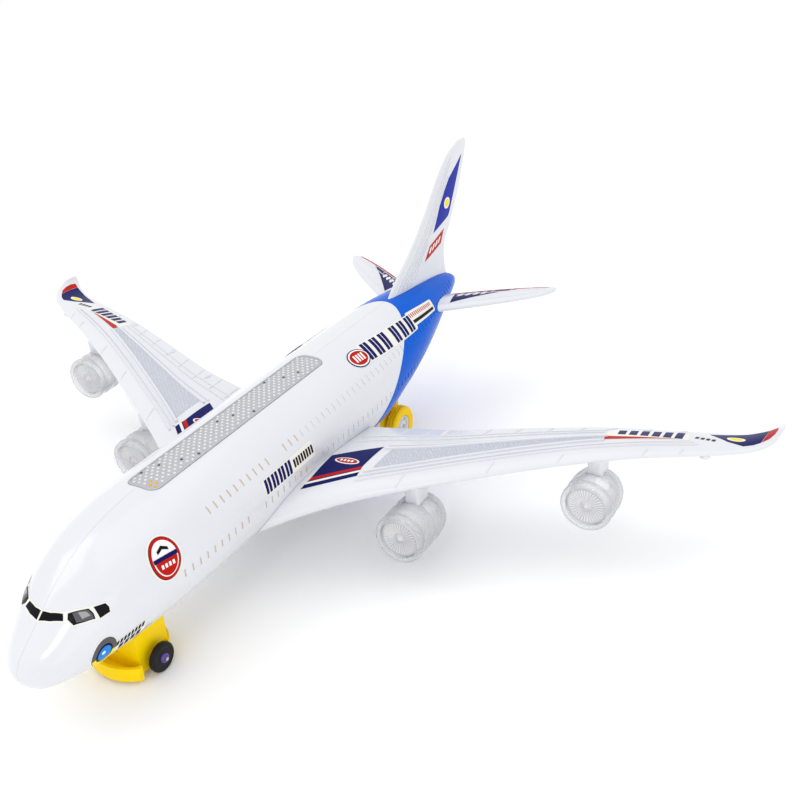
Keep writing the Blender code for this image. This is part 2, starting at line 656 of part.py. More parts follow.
def build_drive_unit():
    pivot = empty("turntable_axis", (0, PIVOT_Y, 0))
    base = prism("turntable", base_outline(0.0), FLOOR_LOW, SKIRT_TOP, "z", YELLOW)
    cut(base, prism("turntable_well", base_outline(1.8), FLOOR_TOP, SKIRT_TOP + 5, "z"))
    tower = box("gearbox_tower", (-BOX_HALF, BOX_FRONT, FLOOR_LOW + 0.6), (BOX_HALF, BOX_REAR, BOX_TOP))
    join(base, tower)
    cut(base, box("gearbox_room", (BOX_WALL - BOX_HALF, BOX_FRONT + BOX_WALL, FLOOR_TOP - 1.0),
                  (BOX_HALF - BOX_WALL, BOX_REAR - BOX_WALL, BOX_TOP + 5)))
    for side, word in ((1, "left"), (-1, "right")):
        near, far = sorted((side * (BOX_HALF + 0.01), side * 40.0))
        cut(base, box(f"wheel_notch_{word}", (near, PIVOT_Y - 11.5, -2),
                      (far, PIVOT_Y + 9.6, SKIRT_TOP + 8)))
        join(base, rod(f"axle_boss_{word}", 2.6, (side * 13.5, PIVOT_Y, axle_z()),
                       (side * (DRIVE_WHEEL_X[0] - 1.2), PIVOT_Y, axle_z()), segments=16))
    cut(base, box("gear_slot", (-6.0, PIVOT_Y - 5.0, -1.0), (-0.6, PIVOT_Y + 5.0, FLOOR_TOP)))
    bores = bmesh.new()
    rod_into(bores, 1.35, (-20, PIVOT_Y, axle_z()), (20, PIVOT_Y, axle_z()), 16)
    for height in (gear_b_z(), gear_a_z()):
        rod_into(bores, PIN_R + 0.1, (-20, PIVOT_Y, height), (20, PIVOT_Y, height), 16)
    cut(base, add_mesh("drive_bores", bores))

    cap = rod("gearbox_drum", DRUM_R, (0, PIVOT_Y, BOX_TOP + GAP), (0, PIVOT_Y, DRUM_TOP), YELLOW, 32)
    flange = rod("drum_flange", DRUM_R + 3.2, (0, PIVOT_Y, 38.4), (0, PIVOT_Y, 40.2), segments=32)
    join(cap, flange)
    cut(cap, rod("drum_room", DRUM_R - 1.3, (0, PIVOT_Y, 10), (0, PIVOT_Y, DRUM_TOP - 1.4), segments=32))

    motor_z = pinion_z()
    motor = box("motor", (-13.8, PIVOT_Y - 7.0, motor_z - 6.0), (0.2, PIVOT_Y + 7.0, motor_z + 6.0), STEEL)
    join(motor, rod("motor_nose", 3.0, (0.0, PIVOT_Y, motor_z), (1.6, PIVOT_Y, motor_z), segments=16))
    shaft_a = rod("gear_pin_a", PIN_R, (-14.3, PIVOT_Y, gear_a_z()), (14.3, PIVOT_Y, gear_a_z()), STEEL, 16)
    shaft_b = rod("gear_pin_b", PIN_R, (-14.3, PIVOT_Y, gear_b_z()), (14.3, PIVOT_Y, gear_b_z()), STEEL, 16)
    hang(pivot, base, cap, motor, shaft_a, shaft_b)
    return pivot


def axle_z():
    return DRIVE_WHEEL_R


def gear_b_z():
    return axle_z() + MODULE * (TEETH["axle_gear"] + TEETH["b_small"]) / 2 + 0.1


def gear_a_z():
    return gear_b_z() + MODULE * (TEETH["b_big"] + TEETH["a_small"]) / 2 + 0.1


def pinion_z():
    return gear_a_z() + MODULE * (TEETH["a_big"] + TEETH["pinion"]) / 2 + 0.1


def gear_outline(teeth, phase):
    """Straight-sided teeth in the YZ plane; phase is the angle of one tooth from +Z."""
    pitch = MODULE * teeth / 2
    root, tip = pitch - 1.25 * MODULE, pitch + 0.75 * MODULE
    wide, narrow = 0.36 * math.pi / teeth * 1.35, 0.36 * math.pi / teeth * 0.62
    points = []
    for tooth in range(teeth):
        middle = phase + 2 * math.pi * tooth / teeth
        for radius, turn in ((root, -wide), (tip, -narrow), (tip, narrow), (root, wide)):
            angle = middle + turn
            points.append((radius * math.sin(angle), radius * math.cos(angle)))
    return points


def gear(name, kind, height, phase, low, high, look=None):
    outline = [(PIVOT_Y + y, height + z) for y, z in gear_outline(TEETH[kind], phase)]
    return prism(name, outline, low, high, "x", look)


def gear_bore(name, radius, height):
    return rod(name, radius, (-9, PIVOT_Y, height), (9, PIVOT_Y, height), segments=20)


def build_gears(pivot):
    """A straight train up from the wheel axle: every line of centres is vertical."""
    half = {kind: math.pi / count for kind, count in TEETH.items()}
    axle = empty("drive_axle_axis", (0, PIVOT_Y, axle_z()), pivot)
    first = gear("axle_gear", "axle_gear", axle_z(), 0.0, -4.0, -1.8, GEAR)
    join(first, rod("axle_gear_hub", 2.2, (-5.6, PIVOT_Y, axle_z()), (-1.0, PIVOT_Y, axle_z()), segments=16))
    cut(first, gear_bore("axle_gear_bore", DRIVE_AXLE_R + 0.12, axle_z()))

    # A tooth of the lower gear points straight up, so the upper one has a gap pointing down.
    small_b = math.pi + half["b_small"]
    second = gear("gear_b", "b_small", gear_b_z(), small_b, -4.2, 2.0, GEAR)
    join(second, gear("gear_b_wheel", "b_big", gear_b_z(), 0.0, 1.0, 3.2))
    cut(second, gear_bore("gear_b_bore", PIN_R + TIGHT, gear_b_z()))

    small_a = math.pi + half["a_small"]
    third = gear("gear_a", "a_small", gear_a_z(), small_a, 0.8, 5.6, GEAR)
    join(third, gear("gear_a_wheel", "a_big", gear_a_z(), 0.0, 5.0, 7.2))
    cut(third, gear_bore("gear_a_bore", PIN_R + TIGHT, gear_a_z()))

    pinion = gear("motor_pinion", "pinion", pinion_z(), math.pi + half["pinion"], 4.6, 7.6, BRASS)
    join(pinion, rod("pinion_shaft", 0.8, (1.9, PIVOT_Y, pinion_z()), (8.6, PIVOT_Y, pinion_z()),
                     segments=12))
    for name, height, thing in (("gear_b_axis", gear_b_z(), second), ("gear_a_axis", gear_a_z(), third),
                                ("pinion_axis", pinion_z(), pinion)):
        hang(empty(name, (0, PIVOT_Y, height), pivot), thing)
    hang(axle, first)
    return axle


def wheel_profile(radius, bore, low, high, crown):
    """A closed section of a wheel with rounded shoulders, as (radius, along)."""
    return [(bore, low), (bore, high), (radius - crown, high),
            (radius - crown * 0.3, high - crown * 0.4), (radius, high - crown * 1.2),
            (radius, low + crown * 1.2), (radius - crown * 0.3, low + crown * 0.4), (radius - crown, low)]


def build_drive_wheels(axle):
    height = axle_z()
    low, high = DRIVE_WHEEL_X
    hang(axle, rod("drive_axle", DRIVE_AXLE_R, (-23.8, PIVOT_Y, height), (23.8, PIVOT_Y, height), STEEL, 16))
    for side, word in ((1, "left"), (-1, "right")):
        place = (0, PIVOT_Y, height)
        wheel = turned(f"drive_wheel_{word}", wheel_profile(DRIVE_WHEEL_R, 3.2, low, high, 1.4), place,
                       (side, 0, 0), BLACK, 22)
        section = [(1.25, low - 0.8), (1.25, high + 1.0), (2.2, high + 1.0), (2.9, high + 0.2),
                   (2.9, low - 0.8)]
        hub = turned(f"drive_hub_{word}", section, place, (side, 0, 0), PURPLE, 16)
        hang(axle, wheel, hub)


# ---- rear wheels ----------------------------------------------------------
def build_rear_wheels(room):
    low, high = REAR_X
    place = (0, REAR_Y, REAR_R)
    spin = empty("rear_axle_axis", place)
    hang(spin, rod("rear_axle", 1.25, (-23.4, REAR_Y, REAR_R), (23.4, REAR_Y, REAR_R), STEEL, 16))
    groove = (low + high) / 2 - 0.6
    for side, word in ((1, "left"), (-1, "right")):
        tyre = [(REAR_HUB_R + 0.3, low), (REAR_HUB_R + 0.3, high - 0.4), (11.4, high), (12.9, high - 1.0),
                (REAR_R, high - 2.4), (REAR_R, groove + 0.6), (12.7, groove), (REAR_R, groove - 0.6),
                (REAR_R - 0.1, low + 1.2), (12.2, low)]
        wheel = turned(f"rear_wheel_{word}", tyre, place, (side, 0, 0), YELLOW, 24)
        section = [(1.5, low + 0.4), (1.5, high - 0.6), (3.4, high - 0.6), (4.2, high - 2.2),
                   (5.8, high - 2.2), (6.2, high - 0.8), (REAR_HUB_R, high - 0.8), (REAR_HUB_R, low + 0.4)]
        hub = turned(f"rear_hub_{word}", section, place, (side, 0, 0), WHITE, 20)
        hang(spin, wheel, hub)
    bracket = box("rear_bracket", (-13.0, REAR_Y - 10, REAR_R - 4.5), (13.0, REAR_Y + 10, 50), YELLOW)
    cut(bracket, room)
    cut(bracket, box("bracket_slot", (-9.5, REAR_Y - 20, 0), (9.5, REAR_Y + 20, REAR_R + 8)))
    join(bracket, box("bracket_tongue", (-6, REAR_Y - 8, 24), (6, REAR_Y + 8, 42.0)))
    cut(bracket, rod("bracket_bore", 1.6, (-30, REAR_Y, REAR_R), (30, REAR_Y, REAR_R), segments=20))


def main():
    clear_scene()
    build_fuselage()
    build_body_screws()
    build_grille()
    clearance = hull_solid("hull_clearance", GAP)
    for side, word in ((1, "left"), (-1, "right")):
        build_wing(side, word, clearance)
        build_tailplane(side, word, clearance)
    build_fin(clearance)
    build_engines()
    build_door()
    build_battery_tray()
    build_switch()
    build_electronics()
    pivot = build_drive_unit()
    axle = build_gears(pivot)
    build_drive_wheels(axle)
    build_rear_wheels(clearance)
    bpy.context.view_layer.update()


main()
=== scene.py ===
"""The looks of a toy airliner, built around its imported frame.

Shapes are worked out in millimetres and become metres when a mesh is made. Hull, wings, fin and
tailplanes follow the station tables of the solids at a finer step, with their surface detail added.
Stickers are thin plies that follow the surface under them; their marks are plain bars and ovals.
"""
import json
import math

import bmesh
import bpy
import numpy as np
from mathutils import Matrix, Vector


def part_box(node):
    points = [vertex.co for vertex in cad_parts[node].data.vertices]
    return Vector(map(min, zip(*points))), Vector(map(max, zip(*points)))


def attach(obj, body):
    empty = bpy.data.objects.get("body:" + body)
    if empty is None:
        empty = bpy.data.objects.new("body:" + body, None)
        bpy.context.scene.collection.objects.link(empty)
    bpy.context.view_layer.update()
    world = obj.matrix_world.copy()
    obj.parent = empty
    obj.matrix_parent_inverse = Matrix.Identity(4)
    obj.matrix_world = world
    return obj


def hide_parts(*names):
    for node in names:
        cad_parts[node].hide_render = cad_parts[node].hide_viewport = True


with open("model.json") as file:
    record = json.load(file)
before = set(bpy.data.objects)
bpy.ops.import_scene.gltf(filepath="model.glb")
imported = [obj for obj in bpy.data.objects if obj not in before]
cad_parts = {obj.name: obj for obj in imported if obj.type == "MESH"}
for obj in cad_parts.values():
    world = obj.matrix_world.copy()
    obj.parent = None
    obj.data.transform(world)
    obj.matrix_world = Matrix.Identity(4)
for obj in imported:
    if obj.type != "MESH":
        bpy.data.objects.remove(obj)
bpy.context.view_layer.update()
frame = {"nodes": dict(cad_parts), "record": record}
MM = 0.001
SIDES = ((1, "left"), (-1, "right"))


def node_box(node):
    """Lowest and highest corner of a solid, in millimetres."""
    low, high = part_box(node)
    return np.array(low) / MM, np.array(high) / MM


def middle_of(node):
    low, high = node_box(node)
    return (low + high) / 2


# ---- station tables, as in the solids -------------------------------------
# y, top, bottom, half width
HULL = np.array([
    (-230.0, 43.0, 42.6, 0.3), (-228.6, 47.8, 37.0, 7.0), (-225.0, 52.3, 33.4, 12.0),
    (-218.0, 58.0, 30.6, 17.5), (-208.0, 66.2, 28.6, 22.6), (-196.0, 75.0, 27.5, 27.2),
    (-182.0, 82.6, 27.1, 31.2), (-164.0, 88.3, 27.0, 34.8), (-140.0, 91.2, 27.0, 37.0),
    (-112.0, 91.5, 27.0, 37.5), (45.0, 91.5, 27.0, 37.4), (80.0, 91.6, 34.0, 34.2),
    (110.0, 91.6, 42.0, 29.6), (140.0, 89.6, 50.5, 22.6), (168.0, 85.6, 58.8, 14.6),
    (190.0, 80.6, 65.0, 8.0), (200.0, 76.4, 67.6, 4.0), (204.0, 71.8, 71.2, 0.4)])
NOSE_Y, TAIL_Y = HULL[0, 0], HULL[-1, 0]
NOSE_CAP, TAIL_CAP = 5.0, 4.0
WALL = 2.0
# x, lead y, lead z, trail y, trail z, thickness
WING = np.array([
    (30.0, -88.0, 41.5, 24.0, 47.5, 15.0), (48.0, -68.0, 45.6, 24.8, 50.5, 13.5),
    (66.0, -52.5, 49.3, 26.4, 53.3, 11.5), (90.0, -36.8, 53.5, 30.1, 56.4, 9.2),
    (120.0, -19.0, 58.6, 38.8, 60.0, 7.6), (150.0, -1.5, 63.0, 48.9, 62.8, 6.6),
    (180.0, 15.2, 66.6, 59.4, 64.4, 5.8), (210.0, 31.3, 68.4, 69.0, 64.7, 4.8),
    (232.0, 43.0, 68.4, 76.0, 64.6, 4.0), (246.0, 51.5, 68.0, 80.0, 65.2, 3.4),
    (256.0, 58.0, 68.6, 84.4, 67.2, 3.0), (262.5, 64.5, 69.8, 88.5, 69.8, 2.6),
    (266.0, 71.5, 71.4, 91.0, 72.2, 2.4), (267.0, 78.0, 73.4, 91.0, 74.2, 1.8)])
WING_LIFT = 0.70
# z, lead y, trail y, thickness
FIN = np.array([
    (76.0, 98.0, 196.5, 7.0), (83.0, 103.0, 192.6, 6.6), (94.0, 115.5, 191.6, 6.0),
    (101.5, 125.5, 192.5, 5.6), (112.5, 142.3, 200.5, 5.0), (132.0, 165.6, 214.5, 4.2),
    (150.0, 183.5, 224.0, 3.6), (160.0, 195.0, 228.3, 3.2), (166.5, 206.5, 230.0, 2.6),
    (169.4, 216.5, 228.6, 1.8)])
# x, lead y, trail y, z, thickness
TAILPLANE = np.array([
    (8.0, 128.5, 160.0, 75.2, 6.5), (20.0, 139.5, 169.8, 75.2, 5.8), (40.0, 155.0, 183.0, 75.6, 5.0),
    (60.0, 171.6, 194.6, 76.0, 4.2), (74.0, 185.4, 201.5, 76.2, 3.4), (80.0, 193.0, 203.6, 76.4, 2.6),
    (82.8, 198.6, 202.6, 76.5, 1.8)])
TAILPLANE_TILT = 0.6     # how much higher the trailing edge lies
BREAK_TOP = (109.0, 91.8)
BREAK_SLOPE, BREAK_CURVE = 2.15, 0.0125


def smooth_curve(places, values):
    """A monotone cubic through the rows of a table."""
    step = np.diff(values) / np.diff(places)
    slope = np.empty(len(places))
    slope[0], slope[-1] = step[0], step[-1]
    before, after = step[:-1], step[1:]
    same = before * after > 0
    total = np.where(same, before + after, 1.0)
    slope[1:-1] = np.where(same, 2 * before * after / total, 0.0)

    def at(place):
        place = np.clip(np.asarray(place, float), places[0], places[-1])
        k = np.clip(np.searchsorted(places, place) - 1, 0, len(places) - 2)
        span = places[k + 1] - places[k]
        t = (place - places[k]) / span
        return ((2 * t**3 - 3 * t**2 + 1) * values[k] + (t**3 - 2 * t**2 + t) * span * slope[k]
                + (3 * t**2 - 2 * t**3) * values[k + 1] + (t**3 - t**2) * span * slope[k + 1])
    return at


def table_curves(table):
    return [smooth_curve(table[:, 0], table[:, column]) for column in range(1, table.shape[1])]


HULL_CURVES = table_curves(HULL)
WING_CURVES = table_curves(WING)
FIN_CURVES = table_curves(FIN)
TAILPLANE_CURVES = table_curves(TAILPLANE)


def hull_size(y):
    """Top, bottom and half width of the hull, with rounded ends."""
    y = np.clip(np.asarray(y, float), NOSE_Y, TAIL_Y)
    sizes = []
    for curve in HULL_CURVES:
        nose, tail = curve(NOSE_Y), curve(TAIL_Y)
        at_nose = nose + (curve(NOSE_Y + NOSE_CAP) - nose) * np.sqrt((y - NOSE_Y) / NOSE_CAP)
        at_tail = tail + (curve(TAIL_Y - TAIL_CAP) - tail) * np.sqrt((TAIL_Y - y) / TAIL_CAP)
        size = np.where(y < NOSE_Y + NOSE_CAP, at_nose, curve(y))
        sizes.append(np.where(y > TAIL_Y - TAIL_CAP, at_tail, size))
    return sizes


def hull_point(y, turn, lift=0.0):
    """A place on the hull; turn runs from the top, positive to port, in radians."""
    top, bottom, half = hull_size(y)
    middle, high = (top + bottom) / 2, (top - bottom) / 2
    x, z = half * np.sin(turn), high * np.cos(turn)
    across, up = np.sin(turn) * high, np.cos(turn) * half
    length = np.maximum(np.hypot(across, up), 1e-9)
    x = x + lift * across / length
    z = z + middle + lift * up / length
    return np.stack(np.broadcast_arrays(x, y, z), -1)


def turn_at_height(y, height):
    top, bottom, _half = hull_size(y)
    return math.acos(max(-1.0, min(1.0, (height - (top + bottom) / 2) / ((top - bottom) / 2))))


def foil(share):
    """Height of a wing section along its chord, 1 at its thickest place."""
    share = np.clip(np.asarray(share, float), 0.0, 1.0)
    front = np.sin(math.pi / 2 * np.sqrt(np.minimum(share / 0.34, 1.0)))
    back = 0.08 + 0.92 * np.cos(math.pi / 2 * np.clip((share - 0.34) / 0.66, 0.0, 1.0))
    return np.where(share < 0.34, front, back)


def wing_point(side, x, share, lift=0.0, under=False):
    lead_y, lead_z, trail_y, trail_z, thick = (curve(x) for curve in WING_CURVES)
    part = WING_LIFT - 1.0 if under else WING_LIFT
    y = lead_y + (trail_y - lead_y) * share
    z = lead_z + (trail_z - lead_z) * share + thick * part * foil(share) + lift
    return np.stack(np.broadcast_arrays(side * np.asarray(x, float), y, z), -1)


def tailplane_point(side, x, share, lift=0.0, under=False):
    lead, trail, height, thick = (curve(x) for curve in TAILPLANE_CURVES)
    part = -0.5 if under else 0.5
    y = lead + (trail - lead) * share
    z = height + TAILPLANE_TILT * share + thick * part * foil(share) + lift
    return np.stack(np.broadcast_arrays(side * np.asarray(x, float), y, z), -1)


def fin_point(side, z, share, lift=0.0, under=False):
    """A place on the fin; under gives its other side."""
    lead, trail, thick = (curve(z) for curve in FIN_CURVES)
    y = lead + (trail - lead) * share
    x = (-side if under else side) * (thick / 2 * foil(share) + lift)
    return np.stack(np.broadcast_arrays(x, y, np.asarray(z, float)), -1)


# ---- materials ------------------------------------------------------------
def wire(tree, node, **values):
    """Set or link the named inputs of a node; an underscore stands for a space."""
    for name, value in values.items():
        socket = node.inputs[name.replace("_", " ")]
        if isinstance(value, bpy.types.NodeSocket):
            tree.links.new(value, socket)
        else:
            socket.default_value = value
    return node


def add(tree, kind, out, **values):
    """One output of a new node whose inputs are wired."""
    return wire(tree, tree.nodes.new("ShaderNode" + kind), **values).outputs[out]


def new_material(name):
    made = bpy.data.materials.new(name)
    made.use_nodes = True
    return made, made.node_tree


def finished(made, **values):
    wire(made.node_tree, made.node_tree.nodes["Principled BSDF"], **values)
    return made


def noise(tree, scale, detail=3.0, roughness=0.5):
    """Noise in the object's own metres, so that scale is in waves per metre."""
    return add(tree, "TexNoise", "Fac", Vector=add(tree, "TexCoord", "Object"), Scale=scale,
               Detail=detail, Roughness=roughness)


def remap(tree, source, low, high):
    return add(tree, "MapRange", "Result", Value=source, To_Min=low, To_Max=high)


def mixed(tree, source, low, high):
    step = tree.nodes.new("ShaderNodeMix")
    step.data_type = "RGBA"
    return wire(tree, step, Factor=source, A=low, B=high).outputs["Result"]


def tint(tree, source, colour, amount):
    """The colour, a little darker and lighter where the source is low and high."""
    dark, light = [c * (1 - amount) for c in colour], [min(c * (1 + amount), 1.0) for c in colour]
    return mixed(tree, source, (*dark, 1.0), (*light, 1.0))


def bump(tree, source, strength, distance):
    return add(tree, "Bump", "Normal", Height=source, Strength=strength, Distance=distance)


def plastic(name, colour, roughness=0.3, grain=420.0, relief=0.08, coat=0.25, glow=0.0, shade=0.03,
            gloss=0.5):
    """Moulded plastic: slow tone drift, faint flow ripple and a polish that varies."""
    made, tree = new_material(name)
    drift, fine = noise(tree, 28.0, 4.0), noise(tree, grain, 2.0)
    return finished(made, Base_Color=tint(tree, drift, colour, shade),
                    Roughness=remap(tree, fine, roughness * 0.8, roughness * 1.25),
                    Normal=bump(tree, fine, relief, 0.0004), Specular_IOR_Level=gloss,
                    Coat_Weight=coat, Coat_Roughness=0.12, Subsurface_Weight=glow,
                    Subsurface_Radius=(1.0, 0.95, 0.9), Subsurface_Scale=0.002)


def grained(name, colour):
    """The textured panels of the wings: a fine slanted hatch broken up by grain."""
    made, tree = new_material(name)
    wave = tree.nodes.new("ShaderNodeTexWave")
    wave.bands_direction = "DIAGONAL"
    wire(tree, wave, Vector=add(tree, "TexCoord", "Object"), Scale=230.0, Distortion=5.0, Detail=3.0,
         Detail_Scale=3.0)
    hatch = wave.outputs["Fac"]
    both = tree.nodes.new("ShaderNodeMath")
    both.operation = "MULTIPLY"
    tree.links.new(hatch, both.inputs[0])
    tree.links.new(noise(tree, 60.0, 5.0, 0.6), both.inputs[1])
    return finished(made, Base_Color=tint(tree, both.outputs["Value"], colour, 0.10),
                    Normal=bump(tree, hatch, 0.6, 0.0006), Roughness=0.34)


def clear_plastic(name, colour, low, high, roughness=0.07, ripple=0.12, mottle_and_sheen=0.03):
    """Thin clear moulding: see-through where it faces the eye, denser along its edges, where its colour
    darkens as painted shade; a strong mottle is painted streaky sheen.
    """
    made, tree = new_material(name)
    fine = noise(tree, 150.0, 3.0)
    facing = add(tree, "LayerWeight", "Facing", Blend=0.45)
    # Painted shade: the colour darkens to 0.42 of itself towards grazing edges, standing in for the dark
    # rims of clear plastic.
    edge = (*[0.42 * part for part in colour], 1.0)
    # The mottle is a faint tone drift when small, and painted streaky sheen when large, as on the engines.
    return finished(made, Base_Color=mixed(tree, facing, tint(tree, fine, colour, mottle_and_sheen), edge),
                    Alpha=remap(tree, facing, low, high),
                    Roughness=remap(tree, fine, roughness * 0.6, roughness * 1.6),
                    Normal=bump(tree, fine, ripple, 0.0008), Specular_IOR_Level=0.75,
                    Coat_Weight=0.6, Coat_Roughness=0.03)


def rubbery(name, colour, roughness):
    """Soft wheel stuff: dull, with dust that catches on high grain."""
    made, tree = new_material(name)
    fine, slow = noise(tree, 900.0, 4.0, 0.7), noise(tree, 120.0, 3.0)
    return finished(made, Base_Color=tint(tree, slow, colour, 0.10),
                    Roughness=remap(tree, slow, roughness * 0.75, roughness * 1.2),
                    Normal=bump(tree, fine, 0.25, 0.0003), Specular_IOR_Level=0.2)


def metal(name, colour, roughness):
    """Drawn or turned metal: fine scratches along one way."""
    made, tree = new_material(name)
    stretch = add(tree, "Mapping", "Vector", Vector=add(tree, "TexCoord", "Object"), Scale=(6.0, 1.0, 1.0))
    scratch = add(tree, "TexNoise", "Fac", Vector=stretch, Scale=700.0)
    return finished(made, Base_Color=tint(tree, scratch, colour, 0.06),
                    Roughness=remap(tree, scratch, roughness * 0.6, roughness * 1.5),
                    Normal=bump(tree, scratch, 0.15, 0.0002), Metallic=1.0)


def sticker(name, colour, roughness=0.32):
    """Printed film: even ink, a thin varnish and a faint press grain."""
    made, tree = new_material(name)
    fine, slow = noise(tree, 1500.0, 2.0), noise(tree, 70.0, 2.0)
    return finished(made, Base_Color=tint(tree, slow, colour, 0.05),
                    Roughness=remap(tree, fine, roughness * 0.85, roughness * 1.2),
                    Normal=bump(tree, slow, 0.05, 0.0006), Specular_IOR_Level=0.07)


def printed_board(name):
    """A green circuit board with lighter tracks."""
    made, tree = new_material(name)
    tracks = add(tree, "TexBrick", "Color", Vector=add(tree, "TexCoord", "Object"), Scale=160.0,
                 Color1=(0.02, 0.16, 0.06, 1.0), Color2=(0.03, 0.20, 0.08, 1.0),
                 Mortar=(0.25, 0.42, 0.20, 1.0), Mortar_Size=0.03)
    return finished(made, Base_Color=tracks, Roughness=0.4)


WHITE = plastic("white_gloss", (0.69, 0.705, 0.745), 0.17, coat=0.35)
GRAINED = grained("white_grained", (0.56, 0.59, 0.67))
BLUE = plastic("blue_gloss", (0.0, 0.105, 0.60), 0.2, shade=0.06, coat=0.0, gloss=0.07)
YELLOW = plastic("yellow_satin", (1.0, 0.68, 0.0), 0.38, grain=600.0, coat=0.0, shade=0.03, gloss=0.15)
# Engine pods: the mottle of 0.24 is painted streaky sheen, and their edges carry painted shade.
CLEAR = clear_plastic("clear_engine", (0.80, 0.80, 0.88), 0.14, 0.88, 0.04, 0.30, 0.24)
FROSTED = clear_plastic("clear_fan", (0.86, 0.86, 0.90), 0.50, 0.90, 0.2, 0.02)
BLADE = clear_plastic("clear_blades", (0.98, 0.98, 1.0), 0.80, 0.95, 0.12, 0.02)
GRILLE = clear_plastic("clear_grille", (0.68, 0.69, 0.75), 0.66, 0.92, 0.16, 0.05)
# Painted highlight: the grille's clear bumps are made nearly white and opaque to stand in for their
# highlights.
DOME_HIGHLIGHT = clear_plastic("grille_dome_highlights", (0.95, 0.95, 0.97), 0.80, 1.0, 0.10)
TYRE_YELLOW = rubbery("yellow_rubber", (0.98, 0.60, 0.0), 0.55)
TYRE_BLACK = rubbery("black_rubber", (0.008, 0.008, 0.009), 0.5)
PURPLE = plastic("purple_hub", (0.075, 0.03, 0.26), 0.3)
STEEL = metal("bright_steel", (0.62, 0.62, 0.63), 0.28)
BRASS = metal("turned_brass", (0.72, 0.50, 0.20), 0.3)
GEAR = plastic("gear_nylon", (0.74, 0.73, 0.66), 0.45, glow=0.1)
BLACK = plastic("black_moulding", (0.015, 0.015, 0.017), 0.45, grain=900.0, relief=0.2, coat=0.0)
CELL = plastic("cell_sleeve", (0.05, 0.05, 0.06), 0.25, coat=0.5)
BOARD = printed_board("printed_board")
NAVY_INK = sticker("navy_ink", (0.004, 0.007, 0.10))
ROYAL_INK = sticker("royal_ink", (0.002, 0.016, 0.33))
RED_INK = sticker("red_ink", (0.46, 0.010, 0.006))
CREAM_INK = sticker("cream_ink", (0.80, 0.79, 0.73))
WHITE_INK = sticker("white_ink", (0.86, 0.86, 0.84))
BLACK_INK = sticker("black_ink", (0.006, 0.006, 0.008), 0.2)
GREY_INK = sticker("grey_ink", (0.10, 0.10, 0.11), 0.22)
PALE_INK = sticker("pale_ink", (0.33, 0.33, 0.34), 0.22)
YELLOW_INK = sticker("yellow_ink", (0.90, 0.72, 0.01))
SKY_INK = sticker("sky_ink", (0.02, 0.22, 0.70))
# Painted light and shade: amber floors in the front window slots stand in for the dim, warm-lit inside seen
# through them.
AMBER_BACKLIGHT = sticker("window_backlight", (0.66, 0.52, 0.36))
# Painted lamp glow: amber colour without any light of its own, for the front dots of the grille.
AMBER_GLOW = sticker("lamp_amber", (0.75, 0.42, 0.01))
SHADE = sticker("window_shade", (0.74, 0.75, 0.78))

SLOT_LOOKS = {"white_shell": WHITE, "blue_shell": BLUE, "clear_plastic": CLEAR, "yellow_plastic": YELLOW,
              "yellow_tyre": TYRE_YELLOW, "black_tyre": TYRE_BLACK, "purple_plastic": PURPLE,
              "steel": STEEL, "brass": BRASS, "gear_plastic": GEAR, "black_plastic": BLACK,
              "board": BOARD, "cell_wrap": CELL}


# ---- mesh makers ----------------------------------------------------------
def grid_faces(rows, columns, start=0, wrap=False, close=False):
    """Faces between rows of points; wrap closes each row, close joins the last row to the first."""
    faces = []
    for row in range(rows if close else rows - 1):
        for column in range(columns if wrap else columns - 1):
            after = (column + 1) % columns
            a, b = start + row * columns, start + (row + 1) % rows * columns
            faces.append((a + column, a + after, b + after, b + column))
    return faces


def skin_faces(rows, columns, ends):
    """Faces of an outer and an inner skin, joined along both sides and at the rows in ends."""
    count = rows * columns
    faces = grid_faces(rows, columns) + grid_faces(rows, columns, count)
    edges = [(i * columns + j, (i + 1) * columns + j) for i in range(rows - 1) for j in (0, columns - 1)]
    edges += [(i * columns + j, i * columns + j + 1) for i in ends for j in range(columns - 1)]
    return faces + [(a, b, count + b, count + a) for a, b in edges]


def finish_mesh(mesh, angle=32.0):
    bm = bmesh.new()
    bm.from_mesh(mesh)
    bmesh.ops.recalc_face_normals(bm, faces=bm.faces)
    bm.to_mesh(mesh)
    bm.free()
    mesh.shade_smooth()
    mesh.set_sharp_from_angle(angle=math.radians(angle))


def add_object(name, data):
    thing = bpy.data.objects.new(name, data)
    bpy.context.scene.collection.objects.link(thing)
    return thing


def piece_of(name, mesh, slot="white_shell", body="airframe", look=None, replaces=None, angle=32.0):
    """A piece that rides on a body, in place of the solid it names or whose name it has."""
    finish_mesh(mesh, angle)
    mesh.materials.clear()
    mesh.materials.append(look or SLOT_LOOKS[slot])
    thing = add_object(name, mesh)
    if body:
        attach(thing, body)
        solid = replaces or name
        if solid in frame["nodes"]:
            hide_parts(solid)
    return thing


def piece(name, points, faces, **how):
    """As piece_of(), from points in millimetres."""
    mesh = bpy.data.meshes.new(name)
    mesh.from_pydata([tuple(p) for p in np.asarray(points, float) * MM], [], faces)
    return piece_of(name, mesh, **how)


def from_bmesh(name, bm, **how):
    """As piece_of(), from a bmesh in millimetres."""
    bmesh.ops.scale(bm, vec=(MM, MM, MM), verts=bm.verts)
    mesh = bpy.data.meshes.new(name)
    bm.to_mesh(mesh)
    bm.free()
    return piece_of(name, mesh, **how)


def tool(bm):
    """A cutting body, removed again by carve()."""
    return from_bmesh("tool", bm, body=None)


def carve(thing, cutter, operation="DIFFERENCE", angle=32.0):
    """Apply an exact boolean and drop the cutter."""
    step = thing.modifiers.new("carve", "BOOLEAN")
    step.operation, step.object, step.solver = operation, cutter, "EXACT"
    bpy.context.view_layer.update()
    seen = thing.evaluated_get(bpy.context.evaluated_depsgraph_get())
    made = bpy.data.meshes.new_from_object(seen)
    thing.modifiers.clear()
    thing.data = made
    bpy.data.objects.remove(cutter, do_unlink=True)
    finish_mesh(made, angle)


